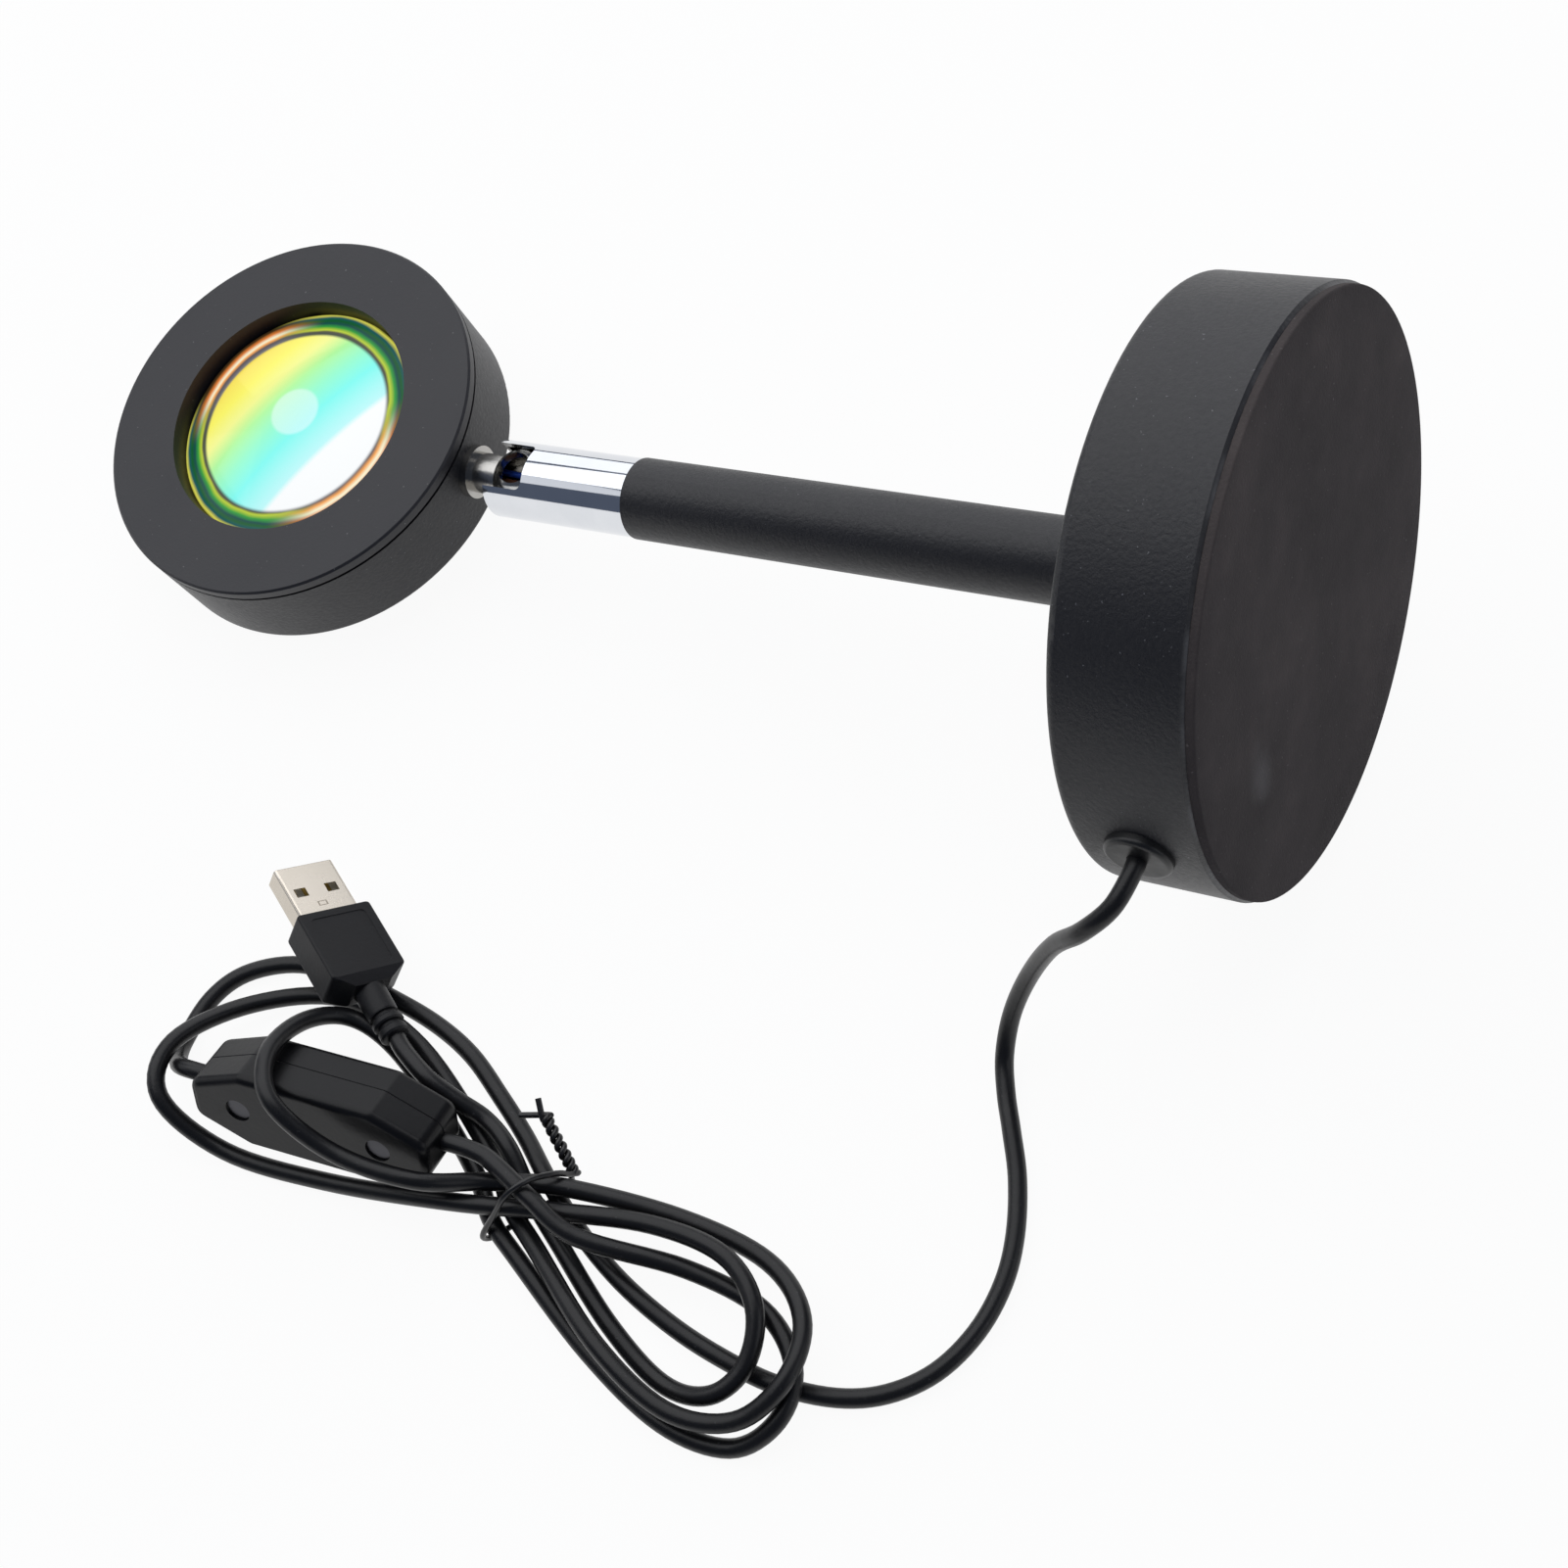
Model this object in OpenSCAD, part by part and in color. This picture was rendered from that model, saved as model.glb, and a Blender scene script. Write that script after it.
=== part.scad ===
// Sunset projection lamp, lying on its side the way it is put down on a table.
// The lamp is drawn upright along its own axis (z = 0 on the foam face of the
// base, z up the stem) and is then laid down on the rims of its base and head.
// The origin is the middle of the foam face.  Millimetres.

/* [Base] */
// Outer diameter of the base
base_d = 100; // [90:1:120]
// Height of the base shell without the foam
base_h = 22.5; // [18:0.5:30]
// Side wall of the base shell
base_wall = 2.4; // [1.6:0.1:3.5]
// Top plate of the base shell
base_top = 2.5; // [1.6:0.1:4]
// Radius of the rounded top edge of the base
base_round = 1.6; // [0.6:0.1:3]
// Chamfer of the bottom edge of the base shell
base_chamfer = 0.6; // [0.3:0.1:1.2]
// Thickness of the foam pad
pad_t = 1.5; // [1:0.1:3]
// How far the foam stands back from the edge of the base
pad_inset = 0.5; // [0.2:0.1:2]
// Thickness of the iron weight
weight_t = 8; // [4:0.5:10]
// Diameter of the weight's middle hole
weight_hole_d = 34; // [28:1:50]
// Height of the cord hole above the shell's bottom edge
cord_hole_h = 11; // [9:0.5:13]

/* [Stem] */
// Outer diameter of the stem tube
stem_d = 15.4; // [14:0.1:20]
// Wall of the stem tube
stem_wall = 1; // [0.8:0.1:1.4]
// Length of the stem tube
stem_len = 108; // [80:1:200]
// Outer diameter of the threaded nipple
nipple_d = 10; // [8:0.5:11]
// Bore of the threaded nipple
nipple_bore = 6; // [4:0.5:7]
// Height of the bush in the stem's foot
bush_h = 12; // [8:1:20]
// Width across the flats of the stem nut
nut_af = 17; // [14:1:22]
// Thickness of the stem nut
nut_t = 5; // [3:0.5:6]
// Diameter of the washer under the stem nut
washer_d = 22; // [18:1:26]
// Thickness of that washer
washer_t = 1.2; // [0.8:0.1:2]

/* [Swivel] */
// Outer diameter of the chrome sleeve
sleeve_d = 15; // [13.8:0.1:15.4]
// Bore of the chrome sleeve
sleeve_bore = 12.8; // [12:0.1:13]
// Length of sleeve that shows beyond the stem
sleeve_len = 32.7; // [28:0.1:50]
// Length of the sleeve's spigot inside the stem
spigot_len = 16; // [12:1:30]
// Width of the slot in the sleeve's end
slot_w = 9.5; // [9:0.1:10.5]
// Corner radius at the bottom of the slot
slot_r = 1.5; // [0.5:0.1:3]
// Depth of the ball's centre below the sleeve's end
ball_depth = 4.7; // [4.2:0.1:6]
// Thickness of the lip that is rolled in over the ball
lip_t = 0.8; // [0.5:0.1:1.2]
// Opening of that lip
lip_bore = 10.6; // [10:0.1:11.4]
// Outer diameter of the neck between ball and flange
neck_d = 8; // [7:0.1:8.4]
// Distance from the ball's centre to the side wall of the head
neck_reach = 11.9; // [11:0.1:16]
// Diameter of the neck's flange
flange_d = 10.4; // [9.5:0.1:13]
// Thickness of the neck's flange
flange_t = 1.4; // [1:0.1:2.5]
// Diameter of the neck's threaded end inside the head
stub_d = 7; // [6:0.1:7.6]
// Bore of the neck for the wires
wire_bore = 4.6; // [4:0.1:5]
// Diameter of the wire hole in the side of the ball
eye_d = 6.6; // [5:0.1:7.2]
// Height of the friction seat behind the ball
seat_h = 7; // [5:0.5:10]
// Height of the clip ring in the spigot
clip_t = 1; // [0.8:0.1:1.5]

/* [Rest position] */
// Angle by which the neck stands off the stem's axis
neck_tilt = 6; // [0:0.5:20]
// Angle by which the sleeve is turned about the stem
sleeve_turn = 7; // [0:1:20]

/* [Head] */
// Outer diameter of the head
head_d = 79.6; // [72:0.1:95]
// Depth of the head from front to back
head_h = 19.8; // [18:0.1:26]
// Side wall of the head
head_wall = 2.4; // [1.8:0.1:3]
// Back wall of the head
head_back = 2; // [1.5:0.1:3]
// Radius of the rounded back edge of the head
head_round = 1.2; // [0.5:0.1:2]
// Thickness of the bezel's front ring
bezel_t = 2.2; // [1.5:0.1:3]
// Chamfer of the bezel's outer edge
bezel_chamfer = 0.4; // [0.2:0.1:0.8]
// Height of the groove between bezel and head
groove_h = 0.6; // [0.4:0.1:1]
// Depth of that groove
groove_d = 0.9; // [0.5:0.1:1.2]
// Diameter of the front opening
aperture_d = 51.4; // [46:0.1:58]
// Wall of the tube inside the front opening
aperture_wall = 2; // [1.2:0.1:3]
// How far the lens's edge reaches behind the bezel all round
lens_lip = 0.8; // [0.4:0.1:2]
// Thickness of the lens at its edge
lens_edge = 2; // [1.5:0.1:3]
// Radius of the lens's dome
lens_r = 45; // [38:1:70]
// How far the dome's top lies behind the front face
lens_sink = 0.5; // [0.2:0.1:3]
// Thickness of the colour filter
filter_t = 1.1; // [0.8:0.1:1.6]
// Wall of the spacer round the lens
spacer_wall = 2.4; // [1.6:0.1:3]
// Inner diameter of the spacer's ledge
ledge_d = 42; // [30:1:46]
// Diameter of the light board
board_d = 66; // [62:1:68]
// Thickness of the light board
board_t = 1.5; // [1:0.1:2]
// Width of the light chip
chip_w = 7; // [5:0.5:10]
// Thickness of the light chip
chip_t = 0.9; // [0.5:0.1:1.5]
// Distance of the board screws from the middle
board_screw_r = 14; // [10:0.5:17]
// Thread diameter of the small screws
small_screw_d = 2.5; // [2:0.1:3]
// Head diameter of the small screws
small_head_d = 4.6; // [4:0.1:5.5]

/* [Cord] */
// Diameter of the cord
cord_d = 3.3; // [3.3:0.1:3.6]
// Diameter of one insulated wire
wire_d = 1.3; // [1:0.1:1.4]
// Diameter of the grommet's outer lip
grommet_d = 11.6; // [10.5:0.1:13]
// Thickness of the grommet's outer lip
grommet_lip = 1.5; // [1:0.1:2]
// Diameter of the hole for the grommet
grommet_hole_d = 9; // [8:0.1:9.5]
// Clear gap kept between turns of the hank
turn_gap = 0.45; // [0.45:0.05:0.6]
// Thickness of the wire tie
tie_d = 1.1; // [1:0.1:1.3]

/* [Switch] */
// Length of the inline switch
switch_l = 47.4; // [46:0.5:52]
// Width of the inline switch
switch_w = 17; // [16:0.5:18]
// Height of the inline switch
switch_h = 12.5; // [12:0.5:13]
// Share of the height in the half that carries the rocker
switch_split = 6.5; // [6:0.1:7]
// Width of the switch's narrow ends
switch_end_w = 8; // [7:0.5:10]
// Wall of the switch shells
switch_wall = 1.4; // [1.2:0.1:1.8]
// Length of the rocker
rocker_l = 14; // [12:0.5:16]
// Width of the rocker
rocker_w = 9; // [8:0.5:10]

/* [Plug] */
// Length of plug shell that shows
shell_l = 11.9; // [11.7:0.1:12.5]
// Width of the plug grip
grip_w = 15; // [14.5:0.1:16]
// Thickness of the plug grip
grip_t = 7.4; // [7.2:0.1:8]
// Length of the straight part of the plug grip
grip_l = 15; // [14:0.5:18]

/* [Hidden] */
$fn = 64;

// ---- fits ----
run = 0.05;          // radial clearance of running fits
turn_play = 0.1;     // axial clearance of the sleeve on the stem
seat_drop = 0.2;     // seat stands this far below the slot's bottom
pocket_play = 0.1;   // radial clearance of lens and filter in their pocket
dome_gap = 0.3;      // radial clearance of the lens's dome in the front opening
swing_room = 0.5;    // room between the swung neck and the slot's bottom

// ---- heights along the lamp's axis ----
base_r = base_d / 2;
head_r = head_d / 2;
top_z = pad_t + base_h;
tube_top = top_z + stem_len;
sleeve_end = tube_top + sleeve_len;
pivot_z = sleeve_end - ball_depth;
slot_z = pivot_z - neck_d / 2 - swing_room;
seat_top = slot_z - seat_drop;
seat_z = seat_top - seat_h;
clip_z = tube_top - spigot_len / 2;
hole_z = pad_t + cord_hole_h;
plate_z = top_z - base_top;
nut_z = plate_z - washer_t - nut_t;
nipple_z = nut_z - 1.5;

// ---- radii ----
shell_bore = base_r - base_wall;
tube_bore = stem_d / 2 - stem_wall;
spigot_r = tube_bore - run;
clip_out = tube_bore + 0.3;
clip_in = spigot_r - 0.7;
ball_r = sleeve_bore / 2 - run;
eye_r = eye_d / 2;
stub_r = stub_d / 2;
nipple_r = nipple_d / 2;
cord_r = cord_d / 2;
wire_r = wire_d / 2;
passage_r = clip_in - 0.9;

// ---- head, along its own axis: front face at +head_h / 2 ----
face_z = head_h / 2;
back_z = -face_z;
rim_z = face_z - bezel_t - groove_h;
board_z = back_z + head_back;
board_top = board_z + board_t;
lens_d = aperture_d + 2 * lens_lip;
dome_r = aperture_d / 2 - dome_gap;
dome_top = face_z - lens_sink;
lens_rim_z = dome_top - lens_r + sqrt(lens_r * lens_r - dome_r * dome_r);
lens_z = lens_rim_z - lens_edge;
filter_z = lens_z - filter_t;
pocket_r = lens_d / 2 + pocket_play;
spacer_r = pocket_r + spacer_wall;
housing_bore = head_r - head_wall;
stub_len = neck_reach + head_wall + 4.6;
wire_gap = 0.9;      // the two wires run this far to either side of the middle
wire_turn = max(stub_len + 1.8, neck_reach + head_r - board_d / 2 + 1.2);
screw_bite = 1.2;
small_r = small_screw_d / 2;

// ---- switch ----
screw_x = rocker_l / 2 + 7;
recess_h = 2;
web_t = 1.2;
pin_r = 1.1;
pin_z = switch_h - 3.4;
cheek_y = rocker_w / 2 + turn_gap;

// ---- plug ----
shell_w = 12;
shell_t = 4.5;
shell_wall = 0.35;
root_l = 4;
bevel_l = 2.4;
relief_l = 10.7;
relief_r = 3;
plug_l = shell_l + grip_l + bevel_l + relief_l;

// ---- how the lamp lies: it leans until base and head both touch ----
head_reach = neck_reach + head_r;
head_c = [head_reach * sin(neck_tilt) * cos(sleeve_turn),
          -head_reach * sin(neck_tilt) * sin(sleeve_turn),
          pivot_z + head_reach * cos(neck_tilt)];
head_n = [cos(neck_tilt) * cos(sleeve_turn), -cos(neck_tilt) * sin(sleeve_turn), -sin(neck_tilt)];
function up(v, a) = v[0] * cos(a) - v[2] * sin(a);
function rim_low(c, n, r, a) = up(c, a) - r * sqrt(1 - pow(up(n, a), 2));
function base_low(a) = -(top_z - base_round) * sin(a) - (base_r - base_round) * cos(a) - base_round;
function head_low(a) = rim_low(head_c - (face_z - head_round) * head_n, head_n,
                               head_r - head_round, a) - head_round;
function settle(lo, hi, n = 40) =
    let (mid = (lo + hi) / 2)
    n == 0 ? mid : head_low(mid) > base_low(mid) ? settle(mid, hi, n - 1) : settle(lo, mid, n - 1);
lean = settle(0, 30);
floor_z = base_low(lean);
function place(p) = [-p[0] * sin(lean) - p[2] * cos(lean), p[1], up(p, lean)];

module lamp() rotate([0, -90 - lean, 0]) children();
module swivel() lamp() rotate([0, 0, -sleeve_turn]) children();
module neck() swivel() translate([0, 0, pivot_z]) rotate([0, neck_tilt, 0]) children();
module head() neck() translate([0, 0, head_reach]) rotate([0, 90, 0]) children();

// ---- how the loose things lie on the table (from the photo, x and y as in the part) ----
switch_heading = 4.8;
switch_lean = 27;
rocker_rest = 6;
plug_mouth = [-164.9, -84.7, 12.6];
plug_heading = -124.5;
plug_roll = 38;

// ---- shared shapes ----
module ring(r_out, r_in, h) {
    difference() {
        cylinder(r = r_out, h = h);
        translate([0, 0, -1]) cylinder(r = r_in, h = h + 2);
    }
}

// Half outline of a disc with a round upper edge and a chamfered lower one
module disc_outline(r, h, round_r, chamfer) {
    difference() {
        union() {
            square([r - round_r, h]);
            square([r, h - round_r]);
            translate([r - round_r, h - round_r]) intersection() {
                circle(round_r);
                square(round_r + 1);
            }
        }
        if (chamfer > 0)
            polygon([[r - chamfer, -1], [r - chamfer, 0], [r, chamfer], [r + 1, chamfer],
                     [r + 1, -1]]);
    }
}

module bent_pair(r, points) {
    for (i = [0 : len(points) - 2]) {
        d = points[i + 1] - points[i];
        translate(points[i])
            rotate([0, acos(d[2] / norm(d)), atan2(d[1], d[0])])
            cylinder(r = r, h = norm(d), $fn = 24);
        translate(points[i + 1]) sphere(r = r, $fn = 24);
    }
}

// ---- base ----
module grommet_axis() translate([0, -base_r, hole_z]) rotate([90, 0, 0]) children();

module foam_pad() {
    color("#3a3636") lamp() cylinder(r = base_r - pad_inset, h = pad_t);
}

module base_shell() {
    color("#1c1d22") lamp() difference() {
        translate([0, 0, pad_t]) rotate_extrude()
            disc_outline(base_r, base_h, base_round, base_chamfer);
        translate([0, 0, pad_t - 1]) cylinder(r = shell_bore, h = base_h - base_top + 1);
        cylinder(r = nipple_r + run, h = top_z + 1);
        grommet_axis() translate([0, 0, -base_wall - 2]) cylinder(d = grommet_hole_d, h = base_wall + 4);
    }
}

module base_weight() {
    notch_w = grommet_d + 2;
    notch_d = 9;
    color("#55565a") lamp() difference() {
        translate([0, 0, pad_t]) cylinder(r = shell_bore, h = weight_t);
        cylinder(d = weight_hole_d, h = top_z);
        translate([-notch_w / 2, -base_r - 1, pad_t + 2]) cube([notch_w, base_wall + notch_d + 1, weight_t]);
    }
}

module cord_grommet() {
    lip_r = grommet_d / 2;
    inner_lip = 1.2;
    color("#101012") lamp() difference() {
        union() {
            difference() {
                grommet_axis() translate([0, 0, -1]) rotate_extrude()
                    disc_outline(lip_r, grommet_lip + 1, grommet_lip * 0.6, 0);
                cylinder(r = base_r, h = top_z);
            }
            grommet_axis() translate([0, 0, -base_wall - 0.5])
                cylinder(d = grommet_hole_d, h = base_wall + 1);
            intersection() {
                grommet_axis() translate([0, 0, -base_wall - inner_lip])
                    cylinder(r = lip_r - 0.4, h = inner_lip + 1);
                cylinder(r = shell_bore, h = top_z);
            }
        }
        grommet_axis() translate([0, 0, -10]) cylinder(r = cord_r, h = 20);
    }
}

module cord_stop() {
    tie_w = 2.4;
    tie_r = cord_r + 1.2;
    color("#1a1a1a") lamp() grommet_axis() translate([0, 0, -base_wall - 1.2 - tie_w]) difference() {
        union() {
            cylinder(r = tie_r, h = tie_w);
            translate([-1.8, 0, 0]) cube([3.6, tie_r + 2.4, tie_w]);
        }
        translate([0, 0, -1]) cylinder(r = cord_r, h = tie_w + 2);
    }
}

// ---- stem ----
module stem_tube() {
    color("#1c1d22") lamp() difference() {
        translate([0, 0, top_z]) ring(stem_d / 2, tube_bore, stem_len);
        translate([0, 0, clip_z - run]) cylinder(r = clip_out + 0.1, h = clip_t + 2 * run);
    }
}

module stem_bush() {
    color("#8f8f94") lamp() translate([0, 0, top_z]) ring(tube_bore, nipple_r, bush_h);
}

module stem_nipple() {
    color("#b9a25c") lamp() translate([0, 0, nipple_z])
        ring(nipple_r, nipple_bore / 2, top_z + bush_h - nipple_z);
}

module stem_washer() {
    color("#9a9aa0") lamp() translate([0, 0, plate_z - washer_t]) ring(washer_d / 2, nipple_r, washer_t);
}

module stem_nut() {
    color("#9a9aa0") lamp() translate([0, 0, nut_z]) difference() {
        cylinder(d = nut_af / cos(30), h = nut_t, $fn = 6);
        translate([0, 0, -1]) cylinder(r = nipple_r, h = nut_t + 2);
    }
}

module stem_wires() {
    for (w = [["#31509a", wire_gap], ["#6b4630", -wire_gap]])
        color(w[0]) lamp() bent_pair(wire_r, [[w[1], -base_r + 12, hole_z], [w[1], 0, hole_z],
                                              [w[1], 0, seat_z + 2]]);
}

// ---- swivel ----
module slot_outline(w, h, r) {
    translate([-w / 2, r]) square([w, h - r]);
    translate([-w / 2 + r, 0]) square([w - 2 * r, h]);
    for (s = [-1, 1]) translate([s * (w / 2 - r), r]) circle(r);
}

module swivel_sleeve() {
    color("#d9dce0") swivel() difference() {
        union() {
            translate([0, 0, tube_top + turn_play]) cylinder(d = sleeve_d, h = sleeve_len - turn_play);
            translate([0, 0, tube_top - spigot_len]) cylinder(r = spigot_r, h = spigot_len + 1);
        }
        translate([0, 0, seat_z]) cylinder(d = sleeve_bore, h = sleeve_end - lip_t - seat_z);
        translate([0, 0, seat_z]) cylinder(d = lip_bore, h = sleeve_end);
        translate([0, 0, tube_top - spigot_len - 1]) cylinder(r = passage_r, h = sleeve_end);
        translate([0, 0, clip_z]) ring(tube_bore + 1, clip_in, clip_t);
        translate([0, 0, slot_z]) rotate([90, 0, 90])
            linear_extrude(sleeve_d) slot_outline(slot_w, sleeve_end - slot_z + 1, slot_r);
    }
}

module ball_seat() {
    color("#e7e2d3") swivel() difference() {
        translate([0, 0, seat_z]) cylinder(d = sleeve_bore - run, h = seat_h);
        translate([0, 0, pivot_z]) sphere(r = ball_r + run, $fn = 96);
        translate([0, 0, seat_z - 1]) cylinder(r = eye_r + 0.3, h = seat_h + 2);
    }
}

module clip_ring() {
    gap_w = 2;
    color("#a7a9ad") swivel() translate([0, 0, clip_z]) difference() {
        ring(clip_out, clip_in, clip_t);
        translate([0, -gap_w / 2, -1]) cube([clip_out + 1, gap_w, clip_t + 2]);
    }
}

// A round bar of the head's shape, seen from the neck
module across_head(r) {
    translate([-head_h, 0, head_reach]) rotate([0, 90, 0]) cylinder(r = r, h = 2 * head_h, $fn = 128);
}

module swivel_neck() {
    cavity_r = ball_r - 1.5;
    color("#b9b7b2") neck() difference() {
        union() {
            sphere(r = ball_r, $fn = 96);
            cylinder(d = neck_d, h = neck_reach);
            translate([0, 0, neck_reach - flange_t]) cylinder(d = flange_d, h = flange_t + 0.6);
        }
        across_head(head_r);
        sphere(r = cavity_r, $fn = 64);
        cylinder(d = wire_bore, h = stub_len);
        rotate([0, 90, 0]) cylinder(r = eye_r, h = ball_r + 1);
        translate([0, 0, -ball_r - 1]) cylinder(r = eye_r, h = ball_r + 1);
    }
    color("#b9b7b2") neck() translate([0, 0, neck_reach - flange_t / 2])
        ring(stub_r, wire_bore / 2, stub_len - neck_reach + flange_t / 2);
}

module neck_nut() {
    nut_w = 10;
    color("#9a9aa0") neck() difference() {
        intersection() {
            translate([0, 0, neck_reach + head_wall / 2])
                cylinder(d = nut_w / cos(30), h = head_wall / 2 + 3.6, $fn = 6);
            across_head(housing_bore);
        }
        translate([0, 0, neck_reach]) cylinder(r = stub_r, h = 20);
    }
}

module neck_wires() {
    for (w = [["#2f57b5", wire_gap], ["#6b4630", -wire_gap]])
        color(w[0]) neck() bent_pair(wire_r, [[0, w[1], -4], [0, w[1], wire_turn],
                                              [board_top + wire_r, w[1], wire_turn]]);
}

// ---- head ----
module head_housing() {
    color("#1c1d22") head() difference() {
        translate([0, 0, rim_z]) mirror([0, 0, 1]) rotate_extrude()
            disc_outline(head_r, rim_z - back_z, head_round, 0);
        translate([0, 0, board_z]) cylinder(r = housing_bore, h = head_h);
        rotate([0, 90, 0]) cylinder(r = stub_r, h = head_r + 1);
        board_screw_spots() translate([0, 0, board_z - screw_bite]) cylinder(r = small_r, h = screw_bite + 1);
    }
}

module front_bezel() {
    spigot_h = 1.2;
    spigot_t = 1.6;
    tube_r = aperture_d / 2 + aperture_wall;
    color("#44464b") head() difference() {
        union() {
            translate([0, 0, face_z - bezel_t]) cylinder(r = head_r, h = bezel_t - bezel_chamfer);
            translate([0, 0, face_z - bezel_chamfer])
                cylinder(r1 = head_r, r2 = head_r - bezel_chamfer, h = bezel_chamfer);
            translate([0, 0, rim_z]) cylinder(r = head_r - groove_d, h = groove_h + 0.1);
            translate([0, 0, rim_z - spigot_h])
                ring(housing_bore - run, housing_bore - spigot_t, spigot_h + 0.1);
            translate([0, 0, lens_rim_z]) cylinder(r = tube_r, h = rim_z - lens_rim_z + 0.1);
        }
        translate([0, 0, lens_rim_z - 1]) cylinder(d = aperture_d, h = head_h);
    }
}

module lens() {
    color("#cfd8c0") head() {
        translate([0, 0, lens_z]) cylinder(d = lens_d, h = lens_edge);
        intersection() {
            translate([0, 0, dome_top - lens_r]) sphere(r = lens_r, $fn = 128);
            translate([0, 0, lens_rim_z - 0.5]) cylinder(r = dome_r, h = head_h);
        }
    }
}

module dichroic_filter() {
    color("#e8c84a") head() translate([0, 0, filter_z]) cylinder(d = lens_d, h = filter_t);
}

module lens_spacer() {
    gate_w = 2 * (wire_gap + wire_r) + 1.4;
    color("#2a2a2c") head() difference() {
        translate([0, 0, board_top]) cylinder(r = spacer_r, h = lens_rim_z - board_top);
        translate([0, 0, filter_z]) cylinder(r = pocket_r, h = head_h);
        translate([0, 0, board_top - 1]) cylinder(d = ledge_d, h = head_h);
        translate([ledge_d / 2 - 1, -gate_w / 2, board_top - 1]) cube([head_r, gate_w, head_h]);
    }
}

module board_screw_spots() {
    for (a = [90, -90]) rotate([0, 0, a]) translate([board_screw_r, 0, 0]) children();
}

module led_board() {
    color("#d8dad8") head() difference() {
        translate([0, 0, board_z]) cylinder(d = board_d, h = board_t);
        board_screw_spots() translate([0, 0, board_z - 1]) cylinder(r = small_r, h = board_t + 2);
    }
}

module led_chip() {
    color("#f2d84a") head() translate([-chip_w / 2, -chip_w / 2, board_top]) cube([chip_w, chip_w, chip_t]);
}

module board_screws() {
    color("#b8b8bc") head() board_screw_spots() {
        translate([0, 0, board_z - screw_bite]) cylinder(r = small_r, h = screw_bite + board_t + 0.5);
        translate([0, 0, board_top]) cylinder(d = small_head_d, h = 1.6);
    }
}

// ---- inline switch, standing on its long narrow side ----
function switch_low(a) = switch_w / 2 * cos(a) + switch_h / 2 * sin(a);
switch_c = [-138.9, -124.7, floor_z + switch_low(switch_lean)];
module switch() translate(switch_c) rotate([0, 0, switch_heading]) rotate([-90 - switch_lean, 0, 0])
    rotate([0, 0, 180]) translate([0, 0, -switch_h / 2]) children();

module switch_outline(wall) {
    l = switch_l / 2 - wall;
    w = switch_w / 2 - wall;
    e = switch_end_w / 2 - wall / 2;
    b = rocker_l / 2 + 6;
    polygon([[-l, -e], [-b, -w], [b, -w], [l, -e], [l, e], [b, w], [-b, w], [-l, e]]);
}

module screw_spots() {
    for (s = [-1, 1]) translate([s * screw_x, 0, 0]) children();
}

module switch_bottom_shell() {
    color("#161618") switch() difference() {
        union() {
            difference() {
                linear_extrude(switch_split) switch_outline(0);
                translate([0, 0, switch_wall]) linear_extrude(switch_split) switch_outline(switch_wall);
            }
            screw_spots() cylinder(d = small_head_d + 2, h = switch_split);
        }
        screw_spots() translate([0, 0, -1]) cylinder(d = small_head_d + 0.2, h = recess_h + 1);
        screw_spots() cylinder(r = small_r, h = switch_split + 1);
    }
}

module switch_top_shell() {
    top_wall = switch_h - switch_wall;
    color("#161618") switch() difference() {
        union() {
            difference() {
                translate([0, 0, switch_split]) linear_extrude(switch_h - switch_split) switch_outline(0);
                translate([0, 0, switch_split - 1]) linear_extrude(top_wall - switch_split + 1)
                    switch_outline(switch_wall);
            }
            screw_spots() translate([0, 0, switch_split])
                cylinder(r = small_r + 1.2, h = top_wall - switch_split);
            for (s = [-1, 1]) translate([-3, s * (cheek_y + web_t / 2) - web_t / 2, switch_split])
                cube([6, web_t, top_wall - switch_split]);
        }
        translate([-rocker_l / 2 - turn_gap - 0.5, -cheek_y, switch_split - 1])
            cube([rocker_l + 2 * turn_gap + 1, 2 * cheek_y, switch_h]);
        translate([0, 0, pin_z]) rotate([90, 0, 0])
            cylinder(r = pin_r + run, h = switch_w - 2.5 * switch_wall, center = true);
        screw_spots() translate([0, 0, switch_split - 1]) cylinder(r = small_r, h = 4);
    }
}

module switch_rocker() {
    l = rocker_l / 2;
    color("#0f0f11") switch() translate([0, 0, pin_z]) rotate([0, rocker_rest, 0]) {
        rotate([90, 0, 0]) cylinder(r = pin_r, h = 2 * (cheek_y + web_t), center = true);
        rotate([90, 0, 0]) linear_extrude(rocker_w, center = true)
            polygon([[-l, 4], [-l, 0], [-2, -2.2], [2, -2.2], [l, 0], [l, 4], [0, 3]]);
    }
}

module switch_screws() {
    color("#8f9096") switch() screw_spots() {
        translate([0, 0, recess_h - 1.4]) cylinder(d = small_head_d, h = 1.4);
        translate([0, 0, recess_h - 0.5]) cylinder(r = small_r, h = switch_split - recess_h + 3.5);
    }
}

module switch_contacts() {
    color("#c0a050") switch() for (s = [-1, 1])
        translate([s * 5.5 - 1.5, -2.5, switch_wall]) cube([3, 5, 2.2]);
}

// ---- plug, drawn from the middle of its mouth's upper edge ----
module plug() translate(plug_mouth + [0, 0, floor_z]) rotate([0, 0, plug_heading]) rotate([-1, 0, 0])
    rotate([0, -plug_roll, 0]) translate([0, 0, -shell_t / 2]) children();

module usb_shell() {
    color("#d2cabd") plug() difference() {
        translate([-shell_w / 2, 0, -shell_t / 2]) cube([shell_w, shell_l + root_l, shell_t]);
        translate([-shell_w / 2 + shell_wall, -1, -shell_t / 2 + shell_wall])
            cube([shell_w - 2 * shell_wall, shell_l + root_l + 2, shell_t - 2 * shell_wall]);
        for (s = [-1, 1]) translate([s * 3.15 - 1.2, 5.2, -shell_t]) cube([2.4, 2, 2 * shell_t]);
    }
}

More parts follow.
